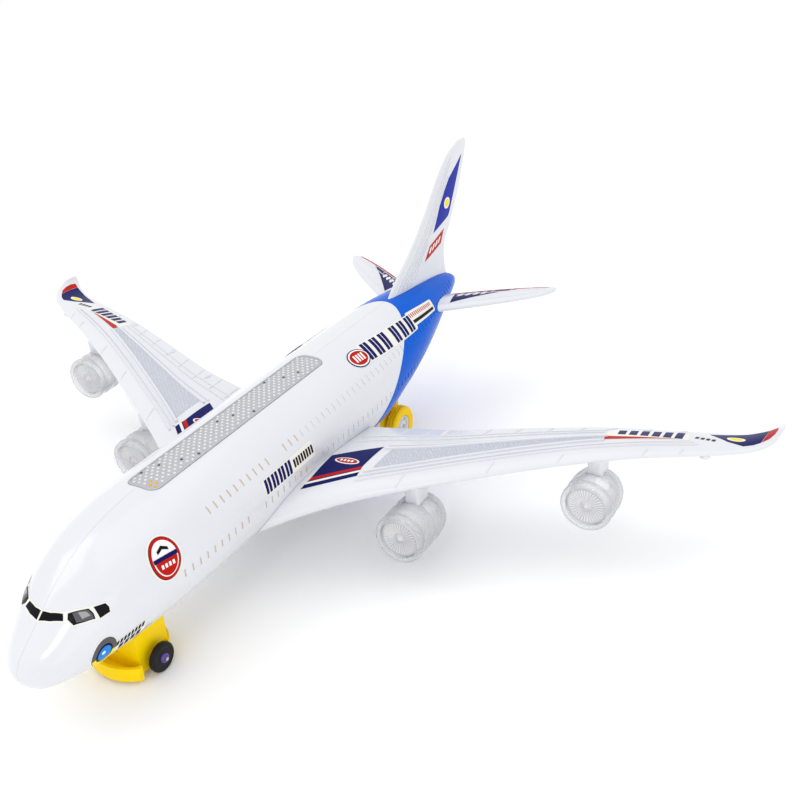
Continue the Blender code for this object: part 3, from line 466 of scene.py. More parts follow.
def cut(thing, *shapes, join=False):
    """Take boxes (low, high) and rods (radius, start, end, segments) from a piece, or join them on."""
    bm = bmesh.new()
    for shape in shapes:
        (box_into if len(shape) == 2 else rod_into)(bm, *shape)
    carve(thing, tool(bm), "UNION" if join else "DIFFERENCE")


def bevel(thing, width):
    step = thing.modifiers.new("rounded_edges", "BEVEL")
    step.width, step.segments = width * MM, 2
    step.limit_method, step.angle_limit = "ANGLE", math.radians(35.0)
    step.harden_normals = True


def box_into(bm, low, high):
    low, high = Vector(low), Vector(high)
    shape = Matrix.Translation((low + high) / 2) @ Matrix.Diagonal((*(high - low), 1.0))
    bmesh.ops.create_cube(bm, size=1.0, matrix=shape)


def rod_into(bm, radius, start, end, segments):
    start, end = Vector(start), Vector(end)
    along = end - start
    shape = Matrix.Translation((start + end) / 2) @ along.to_track_quat("Z", "Y").to_matrix().to_4x4()
    bmesh.ops.create_cone(bm, cap_ends=True, segments=segments, radius1=radius, radius2=radius,
                          depth=along.length, matrix=shape)


def sleeve_into(bm, rows, close=False):
    """Faces round closed rows of points; the end rows are capped unless the sleeve closes on itself."""
    rows = [[bm.verts.new(Vector(point)) for point in row] for row in rows]
    for low, high in zip(rows, rows[1:] + rows[:1] if close else rows[1:]):
        for a, b in zip(range(len(low)), [*range(1, len(low)), 0]):
            bm.faces.new((low[a], low[b], high[b], high[a]))
    if not close:
        bm.faces.new(rows[0][::-1])
        bm.faces.new(rows[-1])


def prism_into(bm, outline, place):
    """A closed body between place(u, v, 0) and place(u, v, 1) over an outline."""
    sleeve_into(bm, [[place(u, v, level) for u, v in outline] for level in (0, 1)])


def spun(name, profile, centre, axis, steps, **how):
    """Turn a closed profile of (radius, along), in millimetres, round an axis."""
    along = Vector(axis).normalized()
    side = along.orthogonal().normalized()
    side, other, along = (np.array(v) for v in (side, along.cross(side), along))
    points = [np.array(centre) + along * s + r * (side * math.cos(t) + other * math.sin(t))
              for t in np.linspace(0, 2 * math.pi, steps, endpoint=False) for r, s in profile]
    return piece(name, points, grid_faces(steps, len(profile), wrap=True, close=True), **how)


RIDGE_SINK = 0.15        # how far a ridge's feet lie under the surface


def ridge_into(bm, points, ups, width, height):
    """A low raised line along points on a surface, with sloping flanks and closed ends."""
    points = [Vector(p) for p in points]
    rows = []
    for i, point in enumerate(points):
        along = (points[min(i + 1, len(points) - 1)] - points[max(i - 1, 0)]).normalized()
        up = Vector(ups[i]).normalized()
        across = along.cross(up).normalized()
        rows.append([point + across * (width * a) + up * h for a, h in (
            (-0.5, -RIDGE_SINK), (-0.3, height), (0.3, height), (0.5, -RIDGE_SINK))])
    sleeve_into(bm, rows)


# ---- stickers -------------------------------------------------------------
FILM = 0.10              # thickness of one printed ply
FILM_GAP = 0.03          # between the surface and the lowest ply


def plate(name, outlines, step, bend, angle=50.0, **how):
    """A thin piece over flat outlines, sliced every step and bent by bend(u, v, level)."""
    bm = bmesh.new()
    for outline in outlines:
        face = bm.faces.new([bm.verts.new((u, v, 0.0)) for u, v in outline])
        if face.normal.z < 0:
            face.normal_flip()
    for axis, size in enumerate(step):
        values = [v.co[axis] for v in bm.verts]
        low, high = min(values), max(values)
        for i in range(1, max(2, math.ceil((high - low) / size))):
            spot, way = [0.0, 0.0, 0.0], [0.0, 0.0, 0.0]
            spot[axis], way[axis] = low + size * i, 1.0
            if spot[axis] < high:
                whole = bm.verts[:] + bm.edges[:] + bm.faces[:]
                bmesh.ops.bisect_plane(bm, geom=whole, plane_co=spot, plane_no=way, dist=1e-5)
    for part in bmesh.ops.extrude_face_region(bm, geom=bm.faces[:])["geom"]:
        if isinstance(part, bmesh.types.BMVert):
            part.co.z = 1.0
    for vert in bm.verts:
        vert.co = Vector(bend(*vert.co))
    return from_bmesh(name, bm, angle=angle, **how)


def films(word, place, *rows):
    """Printed plies on a surface, one piece per row: name, outlines, ink, layer and slicing step.
    place(u, v, lift) gives a point of the surface."""
    for name, outlines, ink, layer, *step in rows:
        def bend(u, v, level, low=FILM_GAP + FILM * (layer - 1)):
            return place(u, v, low + level * FILM)
        plate(f"{name}_{word}", outlines, step or (2.0, 2.0), bend, look=ink)


def bars(start, count, pitch, width, low, high, lean=0.0):
    """Upright bars that stand in for lettering."""
    made = []
    for i in range(count):
        u = start + i * pitch
        made.append([(u, low), (u + width, low), (u + width + lean, high), (u + lean, high)])
    return made


def oval(u, v, half_u, half_v, count=32, start=0.0, end=360.0):
    turns = [math.radians(start + (end - start) * i / count) for i in range(count + (end - start < 360))]
    return [(u + half_u * math.cos(t), v + half_v * math.sin(t)) for t in turns]


def band(u, v, outer, inner, start, end, count=24):
    """Part of a ring; outer and inner are (half_u, half_v)."""
    far = oval(u, v, *outer, count, start, end)
    near = oval(u, v, *inner, count, start, end)
    return far + list(reversed(near))


def rounded(low_u, low_v, high_u, high_v, radius):
    corners = ((high_u - radius, high_v - radius, 0), (low_u + radius, high_v - radius, 90),
               (low_u + radius, low_v + radius, 180), (high_u - radius, low_v + radius, 270))
    return [(u + radius * math.cos(math.radians(start + 15 * i)),
             v + radius * math.sin(math.radians(start + 15 * i)))
            for u, v, start in corners for i in range(7)]


def on_hull(side, y, degrees, tilt=0.0):
    """Sticker places on the hull: u runs aft, v runs up, from a middle point."""
    turn = math.radians(degrees)
    top, bottom, half = hull_size(y)
    reach = math.hypot(half * math.cos(turn), (top - bottom) / 2 * math.sin(turn))
    swing = math.radians(tilt)

    def place(u, v, lift):
        aft = u * math.cos(swing) - v * math.sin(swing)
        up = u * math.sin(swing) + v * math.cos(swing)
        return hull_point(y + aft, side * (turn - up / reach), lift)
    return place


def on_hull_grid(side):
    """Sticker places on the hull: u is y, v is degrees from the top."""
    return lambda u, v, lift: hull_point(u, side * math.radians(v), lift)


def on_wing(side):
    """Sticker places on a wing: u is the distance from the middle, v is y."""
    def place(u, v, lift):
        lead, trail = WING_CURVES[0](u), WING_CURVES[2](u)
        return wing_point(side, u, min(max((v - lead) / (trail - lead), 0.02), 0.985), lift)
    return place


def on_wing_grid(side):
    """Sticker places on a wing: u is the distance from the middle, v the share of the chord."""
    return lambda u, v, lift: wing_point(side, u, v / 100.0, lift)


def on_tailplane(side):
    return lambda u, v, lift: tailplane_point(side, u, v / 100.0, lift)


def on_fin(side):
    """Sticker places on the fin: u is y, v is z."""
    def place(u, v, lift):
        lead, trail = FIN_CURVES[0](v), FIN_CURVES[1](v)
        return fin_point(side, v, min(max((u - lead) / (trail - lead), 0.02), 0.985), lift)
    return place


# ---- hull -----------------------------------------------------------------
def break_y(z):
    drop = BREAK_TOP[1] - z
    return BREAK_TOP[0] - BREAK_SLOPE * drop + BREAK_CURVE * drop**2


def meet_break(turn, lift, shift):
    """Where a lengthwise line of the hull crosses the break between white and blue."""
    low, high = -80.0, 140.0
    for _step in range(40):
        y = (low + high) / 2
        if y < break_y(hull_point(y, turn, lift)[2]) + shift:
            low = y
        else:
            high = y
    return (low + high) / 2


HULL_ROWS, HULL_COLUMNS = 170, 61
SEAM = 0.05              # half the line between the port and starboard shells
BREAK_GAP = 0.12         # half the line between the white and the blue shells


def shell_points(side, front, lift, cap):
    """Rows of one quarter of the skin, from its nose or tail end to the break."""
    share = np.linspace(0, 1, HULL_ROWS) ** 1.6
    columns = []
    for turn in np.linspace(0, math.pi, HULL_COLUMNS):
        start = NOSE_Y + cap if front else TAIL_Y - cap
        end = meet_break(turn, lift, -BREAK_GAP if front else BREAK_GAP)
        columns.append(hull_point(start + (end - start) * share, side * turn, lift))
    points = np.stack(columns, 1)
    points[..., 0] = side * np.maximum(np.abs(points[..., 0]), SEAM)
    return points


def build_shell(name, side, front, slot):
    outer = shell_points(side, front, 0.0, 0.0)
    inner = shell_points(side, front, -WALL, 2.6 if front else 7.0)
    count, last = HULL_ROWS * HULL_COLUMNS, HULL_COLUMNS - 1
    faces = skin_faces(HULL_ROWS, HULL_COLUMNS, (HULL_ROWS - 1,))
    faces += [tuple(range(last + 1)), tuple(range(count, count + last + 1)), (0, last, count + last, count)]
    points = np.concatenate([outer.reshape(-1, 3), inner.reshape(-1, 3)])
    return piece(name, points, faces, slot=slot)


UPPER_WINDOWS = [-121.4 + 5.6 * i for i in range(10)] + [-54.8 + 5.5 * i for i in range(44)]
LOWER_WINDOWS = [-150.0 + 5.6 * i for i in range(10)] + [-84.0 + 5.5 * i for i in range(46)]
UPPER_Z, LOWER_Z = 77.3, 59.5
WINDOW_WIDE, WINDOW_TALL, WINDOW_DEEP = 1.05, 4.2, 0.4
WINDOW_OVER = 0.6        # how far the cutter of a slot stands out of the shell
WINDOW_ROOM = 0.03       # round the pane that lies in a slot


def window_places():
    """(y, turn, whether it lies ahead of the break) of every window slot of a side."""
    for row, height in ((UPPER_WINDOWS, UPPER_Z), (LOWER_WINDOWS, LOWER_Z)):
        for y in row:
            if height < hull_size(y)[0] - 5.0 and abs(y - break_y(height)) > 2.0:
                turn = turn_at_height(y, height)
                yield y, turn, y < break_y(hull_point(y, turn)[2])


def window_into(bm, side, y, turn, inset, low, high):
    """A body with a window's outline between two heights over the skin."""
    place = on_hull(side, y, math.degrees(turn))
    wide, tall = WINDOW_WIDE / 2 - inset, WINDOW_TALL / 2 - inset
    prism_into(bm, rounded(-wide, -tall, wide, tall, wide * 0.6),
               lambda u, v, level: place(u, v, low + (high - low) * level))


def carve_windows(thing, side, front):
    bm = bmesh.new()
    for y, turn, ahead in window_places():
        if ahead == front:
            window_into(bm, side, y, turn, 0.0, -WINDOW_DEEP, WINDOW_OVER)
    carve(thing, tool(bm))


def build_windows():
    """A floor in every window slot, one colour per group; the amber floors ahead are painted light and shade
    of the warm-lit inside.
    """
    floors = {"fore": (AMBER_BACKLIGHT, "white_shell"), "middle": (SHADE, "white_shell"),
              "aft": (SKY_INK, "blue_shell")}
    for side, word in SIDES:
        made = {key: bmesh.new() for key in floors}
        for y, turn, ahead in window_places():
            key = "aft" if not ahead else "fore" if y < -40 else "middle"
            window_into(made[key], side, y, turn, WINDOW_ROOM, -WINDOW_DEEP - 0.05, -WINDOW_DEEP + 0.1)
        for key, (look, slot) in floors.items():
            from_bmesh(f"window_floors_{key}_{word}", made[key], look=look, slot=slot)


GRILLE_LOW, GRILLE_HIGH = node_box("top_grille")
GRILLE_ROUND = 6.0
DOOR_LOW, DOOR_HIGH = node_box("battery_door")
PIVOT_Y = middle_of("gearbox_drum")[1]
KNOB_LOW, KNOB_HIGH = node_box("power_switch_knob")
KNOB_TRAVEL = 4.0
KNOB_SLOT = ((KNOB_LOW[0] - 0.6, KNOB_LOW[1] - 0.6, 20),
             (KNOB_HIGH[0] + 0.6, KNOB_HIGH[1] + KNOB_TRAVEL + 1.0, 34))
DRUM_HOLE_R, SCREW_HOLE_R = 17.7, 2.9
ROOF, BELLY = (80.0, 100.0), (20.0, 42.0)     # heights that a cut has to span


def plan_prism(outline, low, high):
    bm = bmesh.new()
    prism_into(bm, outline, lambda u, v, level: (u, v, low + (high - low) * level))
    return bm


def screw_hole(number):
    low, high = node_box(f"body_screw_{number}")
    _x, y, z = (low + high) / 2
    return SCREW_HOLE_R, (low[0] - 3.5, y, z), (low[0] + 4.0, y, z), 32


def build_hull():
    strip = rounded(*(GRILLE_LOW[:2] - 0.2), *(GRILLE_HIGH[:2] + 0.2), GRILLE_ROUND)
    hatch = rounded(DOOR_LOW[0] - 0.3, DOOR_LOW[1] + 3.2, DOOR_HIGH[0] + 0.3, DOOR_HIGH[1] + 0.7, 1.0)
    for side, word in SIDES:
        shell = build_shell(f"fuselage_{word}", side, True, "white_shell")
        carve_windows(shell, side, True)
        carve(shell, tool(plan_prism(strip, *ROOF)))
        carve(shell, tool(plan_prism(hatch, *BELLY)))
        cut(shell, (DRUM_HOLE_R, (0, PIVOT_Y, 15), (0, PIVOT_Y, 45), 96), KNOB_SLOT)
        if side < 0:
            cut(shell, *map(screw_hole, (1, 2, 3)))

        tail = build_shell(f"tail_{word}", side, False, "blue_shell")
        carve_windows(tail, side, False)
        cut(tail, KNOB_SLOT, *map(screw_hole, (4,) if side < 0 else ()))


def build_door():
    """The hatch under the belly: a curved plate with two tabs, a screw seat and grip bars."""
    back, front = DOOR_HIGH[1], DOOR_LOW[1] + 3.5
    reach = math.asin((DOOR_HIGH[0] - 0.05) / hull_size(0.0)[2])
    turns = np.linspace(math.pi - reach, math.pi + reach, 49)
    rows = np.linspace(front, back, 24)
    points = np.concatenate([hull_point(y, turns, lift) for lift in (0.0, -WALL) for y in rows])
    door = piece("battery_hatch", points, skin_faces(len(rows), len(turns), (0, len(rows) - 1)),
                 body="battery_door", replaces="battery_door")
    tabs = []
    for x in (-9.0, 9.0):
        tabs += [((x - 3, front - 3.5, 30.9), (x + 3, front + 3.0, 32.2)),
                 ((x - 2.9, front + 0.5, 28.2), (x + 2.9, front + 2.9, 31.5))]
    cut(door, *tabs, join=True)
    y = middle_of("door_screw")[1]
    cut(door, (4.4, (0, y, 27.6), (0, y, 30.6), 48), join=True)
    cut(door, (3.2, (0, y, 20), (0, y, 28.1), 48))
    cut(door, (1.5, (0, y, 20), (0, y, 40), 32))
    grips = bmesh.new()
    turns = math.pi + np.linspace(-0.2, 0.2, 15)
    for y in np.arange(5) * -2.4 - 14.0:
        line = hull_point(y, turns)
        ridge_into(grips, line, hull_point(y, turns, 1.0) - line, 1.3, 0.35)
    from_bmesh("battery_hatch_grips", grips, body="battery_door")


# ---- top grille -----------------------------------------------------------
DOT_PITCH, DOT_R, DOT_TURN = 3.3, 0.90, 6.0
DOT_INSET = 1.5          # from the edge of the strip to the middle of the outermost dots


def on_top(u, v, lift):
    """A place on top of the hull over plan coordinates."""
    return hull_point(v, math.asin(max(-1.0, min(1.0, u / hull_size(v)[2]))), lift)


def build_grille():
    """A clear strip with a plain rim, covered with small domes: nearly white as painted highlight, a few
    grey as painted shade of the hollow inside, and amber at the front as painted lamp glow.
    """
    proud = GRILLE_HIGH[2] - hull_size(-60.0)[0]
    low, high = GRILLE_LOW[:2], GRILLE_HIGH[:2]
    plate("grille_plate", [rounded(*low, *high, GRILLE_ROUND - 0.2)], (1.6, 1.6),
          lambda u, v, level: on_top(u, v, proud - 2.0 + 1.55 * level),
          slot="clear_plastic", look=GRILLE, replaces="top_grille")
    ring = rounded(*(low + 0.6), *(high - 0.6), GRILLE_ROUND - 0.8)
    path = []
    for (u, v), (u2, v2) in zip(ring, ring[1:] + ring[:1]):
        parts = max(1, math.ceil(math.hypot(u2 - u, v2 - v) / 4.0))
        path += [(u + (u2 - u) * i / parts, v + (v2 - v) * i / parts) for i in range(parts)]
    rows = []
    for i, (u, v) in enumerate(path):
        (u0, v0), (u2, v2) = path[i - 1], path[(i + 1) % len(path)]
        length = math.hypot(u2 - u0, v2 - v0)
        rows.append([on_top(u + (v2 - v0) / length * a, v - (u2 - u0) / length * a, proud - sunk)
                     for a, sunk in ((-0.5, 0.6), (-0.4, 0.06), (0.4, 0.06), (0.5, 0.6))])
    rim = bmesh.new()
    sleeve_into(rim, rows, close=True)
    from_bmesh("grille_rim", rim, slot="clear_plastic", look=GRILLE)

    # The _dark kind is painted shade of the hollow inside that shows through a few dots.
    kinds = {"": (DOME_HIGHLIGHT, bmesh.new()), "_dark": (GREY_INK, bmesh.new()), "_amber": (AMBER_GLOW, bmesh.new())}
    swing = math.radians(DOT_TURN)
    centre, half = (low + high) / 2, (high - low) / 2
    for i in range(-40, 41):
        for j in range(-12, 13):
            across, along = DOT_PITCH * (j + 0.5 * (i % 2)), DOT_PITCH * math.sqrt(3) / 2 * i
            u = across * math.cos(swing) - along * math.sin(swing)
            v = across * math.sin(swing) + along * math.cos(swing) + centre[1]
            past = np.maximum(np.abs((u, v - centre[1])) - (half - GRILLE_ROUND), 0.0)
            if abs(u) < 8.6 and np.hypot(*past) < GRILLE_ROUND - DOT_INSET:
                # Amber dots near the front are painted lamp glow; every 31st dot is grey, painted shade.
                kind = "_amber" if v < -127.0 and u > 2.0 else "_dark" if (i * 7 + j * 5) % 31 == 0 else ""
                dome_into(kinds[kind][1], u, v, proud - 0.5)
    for kind, (look, bm) in kinds.items():
        from_bmesh(f"grille_dots{kind}", bm, slot="clear_plastic", look=look, angle=60.0)


def dome_into(bm, u, v, base, steps=12):
    levels = ((DOT_R, -0.1), (DOT_R, 0.0), (DOT_R * 0.8, 0.28), (DOT_R * 0.4, 0.42))
    turns = [2 * math.pi * k / steps for k in range(steps)]
    sleeve_into(bm, [[on_top(u + radius * math.cos(t), v + radius * math.sin(t), base + rise) for t in turns]
                     for radius, rise in levels])


# ---- wings and tail -------------------------------------------------------
SHARES = np.array([0.5 - 0.5 * math.cos(math.pi * i / 40) for i in range(41)])
ROOT_GAP = 0.12          # between the hull and the pieces that are trimmed against it


def lofted(name, sections, body="airframe"):
    """A closed body through sections with the same number of points."""
    count = len(sections[0])
    points = np.concatenate(sections)
    faces = grid_faces(len(sections), count, wrap=True)
    faces += [tuple(range(count)), tuple(range(len(points) - count, len(points)))]
    return piece(name, points, faces, body=body, angle=40.0)


def hull_tool(front, back, grow=ROOT_GAP):
    """A length of the hull as one body, a little larger, to trim roots against."""
    turns = np.linspace(0, 2 * math.pi, 120, endpoint=False)
    rows = np.linspace(front, back, max(2, round((back - front) / 3.0)))
    return lofted("hull_tool", [hull_point(y, turns, grow) for y in rows], None)


def even(low, high, step):
    return list(np.linspace(low, high, max(2, round((high - low) / step) + 1)))


def build_panel(name, surface, side, stations, front, back):
    """A wing, tailplane or fin, trimmed where it meets the hull."""
    panel = lofted(name, [np.concatenate([surface(side, x, SHARES[::-1]),
                                          surface(side, x, SHARES[1:], under=True)]) for x in stations])
    carve(panel, hull_tool(front, back), angle=40.0)


def raise_line(bm, surface, side, start, end, width, height, count, up=(0, 0, 1)):
    """A ridge between two places of a surface, each given as (station, share of the chord)."""
    ridge_into(bm, surface(side, *np.linspace(start, end, count).T), [up] * count, width, height)


FAIRINGS = (88.0, 128.0, 176.0)
POD_X = 234.0


def build_wing(side, word):
    build_panel(f"wing_{word}", wing_point, side, even(30, 246, 3.0) + even(247.5, 267, 1.2), -100.0, 40.0)
    lines = [((66, 0.150), (228, 0.31), 1.7, 0.95), ((66, 0.195), (226, 0.38), 1.5, 0.90),
             ((67, 0.240), (181, 0.455), 2.0, 1.05), ((66, 0.572), (181, 0.600), 2.2, 1.05),
             ((66, 0.625), (177, 0.645), 1.2, 0.70), ((42, 0.735), (177, 0.757), 1.3, 0.75),
             ((42, 0.815), (177, 0.833), 1.0, 0.60)]
    lines += [((x, 0.02), (x + 1.0, 0.145), 0.8, 0.45) for x in (89, 132, 165, 205, 222)]
    lines += [((x, 0.765 if x < 178 else 0.88), (x + 3.0, 0.97), 0.8, 0.40)
              for x in (61, 76, 93, 110, 127, 144, 161, 178, 196, 214)]
    raised = bmesh.new()
    for start, end, width, height in lines:
        count = max(3, math.ceil(max((end[0] - start[0]) / 4.0, (end[1] - start[1]) * 12))) + 1
        raise_line(raised, wing_point, side, start, end, width, height, count)
    from_bmesh(f"wing_ridges_{word}", raised, angle=60.0)

    turns, rows = np.linspace(0, 2 * math.pi, 16, endpoint=False), []
    for t in np.linspace(-1, 1, 9):
        x, y, z = wing_point(side, POD_X, 0.04, under=True) + (3.0 * t, 0.6, -0.6)
        swell = math.sqrt(1.02 - t**2)
        rows.append(section(x, y + 2.2 * swell * np.sin(turns), z + 1.5 * swell * np.cos(turns)))
    lofted(f"wing_pod_{word}", rows)
    for number, x in enumerate(FAIRINGS, 1):
        build_fairing(f"flap_fairing_{word}_{number}", side, x)

    outline = [(70.0, 25.8), (70.0, 56.5), (180.0, 58.6), (180.0, 47.0)]
    films(word, on_wing_grid(side), ("wing_panel", [outline], GRAINED, 1, 5.0, 4.0))
    for place in ("inner", "outer"):
        build_pylon(side, word, place)


def section(x, y, z):
    return np.stack(np.broadcast_arrays(x, y, z), -1)


def build_fairing(name, side, x):
    """A small boat-shaped cover that straddles the trailing edge over a flap track."""
    turns, rows = np.linspace(0, 2 * math.pi, 20, endpoint=False), []
    for t in np.linspace(0.02, 0.98, 14):
        share = 0.80 + 0.19 * t
        swell = math.sqrt(math.sin(math.pi * t))
        middle = (wing_point(side, x, share) + wing_point(side, x, share, under=True)) / 2
        thick = float(WING_CURVES[4](x)) * foil(share) / 2
        rows.append(section(middle[0] + 1.7 * swell * np.sin(turns), middle[1],
                            middle[2] + (thick + 1.0) * swell * np.cos(turns)))
    lofted(name, rows)


def build_pylon(side, word, place):
    """The block that holds an engine: it widens into the wing and its foot follows the barrel."""
    low, high = node_box(f"nacelle_{word}_{place}")
    x, front, length = (low[0] + high[0]) / 2, low[1], high[1] - low[1]
    seat = high[2] - 1.2
    start = front + 0.46 * length
    levels = []
    lead, lead_z, trail, trail_z = (float(curve(abs(x))) for curve in WING_CURVES[:4])
    for t in np.linspace(0, 1, 7):
        near, far = start - 1.0 * t, start + 11.5 + (21.5 - 0.46 * length) * t**1.6
        half = 4.5 - 0.5 * math.sin(math.pi * t)
        level = []
        for u, v in rounded(-half, near, half, far, 1.4):
            share = max(v - lead, 0.0) / (trail - lead)
            top = lead_z + (trail_z - lead_z) * share + 0.3
            level.append((x + u, v, seat + (top - seat) * t))
        levels.append(np.array(level))
    lofted(f"pylon_{word}_{place}", levels)


def build_fin():
    build_panel("fin", fin_point, 1, even(76, 160, 2.5) + even(161, 169.4, 1.2), 90.0, 203.0)
    raised = bmesh.new()
    for side, _word in SIDES:
        for start, end, width in (((92, 0.08), (163, 0.14), 1.3), ((92, 0.14), (162, 0.22), 0.9),
                                  ((92, 0.20), (158, 0.31), 0.9), ((92, 0.26), (150, 0.38), 0.9),
                                  ((93, 0.32), (128, 0.38), 0.9), ((94, 0.38), (112, 0.41), 0.9)):
            raise_line(raised, fin_point, side, start, end, width, 0.45, 26, (side, 0, 0))
    from_bmesh("fin_ridges", raised, angle=60.0)


def build_tailplane(side, word):
    build_panel(f"tailplane_{word}", tailplane_point, side, even(8, 74, 2.5) + even(75, 82.8, 1.2),
                120.0, 203.0)
    raised = bmesh.new()
    for start, end in (((24, 0.16), (74, 0.22)), ((24, 0.72), (76, 0.66))):
        raise_line(raised, tailplane_point, side, start, end, 0.9, 0.3, 16)
    for x in (33, 44, 55, 66):
        raise_line(raised, tailplane_point, side, (x, 0.74), (x, 0.97), 0.7, 0.25, 5)
    from_bmesh(f"tailplane_ridges_{word}", raised, angle=60.0)


# ---- engines --------------------------------------------------------------
def smooth_profile(points, parts=6):
    """A rounded line through profile points."""
    made = []
    count = len(points)
    for i in range(count - 1):
        before, here = points[max(i - 1, 0)], points[i]
        after, last = points[i + 1], points[min(i + 2, count - 1)]
        for k in range(parts):
            t = k / parts
            made.append(tuple(0.5 * (2 * here[a] + (after[a] - before[a]) * t
                                     + (2 * before[a] - 5 * here[a] + 4 * after[a] - last[a]) * t**2
                                     + (3 * here[a] - before[a] - 3 * after[a] + last[a]) * t**3)
                              for a in (0, 1)))
    return made + [tuple(points[-1])]


FAN_BLADES = 34


def build_engine(word, place):
    nacelle, fan = f"nacelle_{word}_{place}", f"fan_{word}_{place}"
    low, high = node_box(nacelle)
    x, _y, z = (low + high) / 2
    wide, length = (high[0] - low[0]) / 2, high[1] - low[1]
    outside = [(wide - inset, along) for inset, along in (
        (2.6, 0.0), (1.0, 0.35), (0.25, 1.6), (0.1, 3.2), (0.5, 5.0), (1.1, 6.3), (0.7, 7.8), (0.1, 9.8))]
    outside += [(wide - inset, length * share) for inset, share in (
        (0.0, 0.36), (0.2, 0.43), (0.65, 0.475), (0.3, 0.52), (0.0, 0.60), (0.3, 0.67), (0.95, 0.715),
        (0.8, 0.76), (1.4, 0.83), (2.8, 0.90), (5.2, 0.955), (8.0, 0.99))]
    inside = [(4.2, length - 1.4), (wide - 5.4, length * 0.90), (wide - 3.0, length * 0.78),
              (wide - 1.9, length * 0.62), (wide - 1.8, 9.0), (wide - 3.4, 2.0), (wide - 3.4, 0.5)]
    profile = smooth_profile(outside + [(5.0, length)], 4) + inside
    spun(nacelle, profile, (x, low[1], z), (0, 1, 0), 72, slot="clear_plastic")

    low, high = node_box(fan)
    face, reach = low[1] + 1.2, (high[0] - low[0]) / 2
    middle = Vector((x, face, z))
    disc = [(0.01, high[1] - face), (reach, high[1] - face), (reach, 0.4), (reach - 0.5, 0.1),
            (reach - 1.1, 0.4), (3.4, 0.4), (3.2, 0.0), (2.7, 0.0), (2.5, 0.4), (2.0, 0.3), (1.5, -0.5),
            (0.8, -1.0), (0.01, -1.1)]
    spun(fan, disc, (x, face, z), (0, 1, 0), 48, slot="clear_plastic", look=FROSTED)
    blades = bmesh.new()
    for i in range(FAN_BLADES):
        turn = 2 * math.pi * i / FAN_BLADES
        along, across = (Vector((math.cos(t), 0, math.sin(t))) for t in (turn, turn + math.pi / 2))

        def blade(u, v, level):
            return middle + along * u + across * (v + 0.2 * level) + Vector((0, 0.5 - 0.4 * level, 0))
        prism_into(blades, [(3.6, -0.10), (reach - 1.3, -0.30), (reach - 1.3, 0.30), (3.6, 0.10)], blade)
    from_bmesh(f"fan_blades_{word}_{place}", blades, slot="clear_plastic", look=BLADE)


# ---- drive unit and wheels ------------------------------------------------
def arc(radius, centre_y, start, end, count):
    turns = [math.radians(start + (end - start) * i / count) for i in range(count + 1)]
    return [(radius * math.sin(t), centre_y + radius * math.cos(t)) for t in turns]


def base_outline(inset):
    half, radius = 17.5 - inset, 28.3 - inset
    swing = math.degrees(math.asin(half / radius))
    return (arc(radius, PIVOT_Y + 8.4, 180 - swing, 180 + swing, 40)
            + arc(19.3 - inset, PIVOT_Y, -68, 68, 48))


def near_and_far(node):
    """How far the two faces of a wheel or hub lie from the middle of the toy."""
    return sorted(abs(corner[0]) for corner in node_box(node))


def build_drive_unit():
    axle_z = middle_of("drive_axle")[2]
    floor, top = (corner[2] for corner in node_box("turntable"))
    base = from_bmesh("turntable", plan_prism(base_outline(0.0), floor, 10.4), slot="yellow_plastic",
                      body="drive_unit")
    carve(base, tool(plan_prism(base_outline(1.8), 4.2, 16.0)))
    cut(base, ((-14.5, -171.5, floor + 0.6), (14.5, -149.5, top)), join=True)
    cut(base, ((-13.0, -170.0, 3.2), (13.0, -151.0, top + 5)))
    for side, _word in SIDES:
        near, far = sorted((side * 14.51, side * 40.0))
        cut(base, ((near, PIVOT_Y - 11.5, -2), (far, PIVOT_Y + 9.6, 18.4)))
        cut(base, (2.6, (side * 13.5, PIVOT_Y, axle_z), (side * 16.8, PIVOT_Y, axle_z), 40), join=True)
    cut(base, (1.3, (-20, PIVOT_Y, axle_z), (20, PIVOT_Y, axle_z), 32))
    cut(base, ((-6.0, PIVOT_Y - 5.0, -1.0), (-0.6, PIVOT_Y + 5.0, 4.2)),
        ((-0.7, -173.0, 12.0), (0.7, -169.0, 23.0)))
    bevel(base, 0.45)

    foot, crown = (corner[2] for corner in node_box("gearbox_drum"))
    tall, collar, radius = crown - foot, 40.2 - foot, 17.0
    profile = [(0.01, tall), (radius - 1.2, tall), (radius - 0.3, tall - 0.4), (radius, tall - 1.3),
               (radius, collar), (radius + 2.8, collar), (radius + 3.2, collar - 0.4),
               (radius + 3.2, collar - 1.4), (radius + 2.8, collar - 1.8), (radius, collar - 1.8),
               (radius, 1.0), (radius - 0.5, 0.3), (radius - 1.0, 0.0), (radius - 1.3, 0.3),
               (radius - 1.3, tall - 1.4), (0.01, tall - 1.4)]
    spun("gearbox_drum", profile, (0, PIVOT_Y, foot), (0, 0, 1), 96, slot="yellow_plastic",
         body="drive_unit")

    low, high = node_box("drive_wheel_left")
    radius = (high[2] - low[2]) / 2
    for side, word in SIDES:
        near, far = near_and_far(f"drive_wheel_{word}")
        tyre = smooth_profile([(3.1, far), (5.0, far - 0.25), (6.6, far - 0.1), (7.5, far - 0.35),
                               (radius - 0.1, far - 1.1), (radius, (near + far) / 2),
                               (radius - 0.1, near + 1.1), (7.5, near + 0.35), (3.1, near)], 5)
        spun(f"drive_wheel_{word}", tyre, (0, PIVOT_Y, axle_z), (side, 0, 0), 72, slot="black_tyre",
             body="drive_axle")
        near, far = near_and_far(f"drive_hub_{word}")
        hub = [(1.15, near), (2.9, near), (2.9, far - 1.2), (2.6, far - 0.5), (2.2, far - 0.1), (1.9, far),
               (1.15, far)]
        spun(f"drive_hub_{word}", hub, (0, PIVOT_Y, axle_z), (side, 0, 0), 48, slot="purple_plastic",
             body="drive_axle")


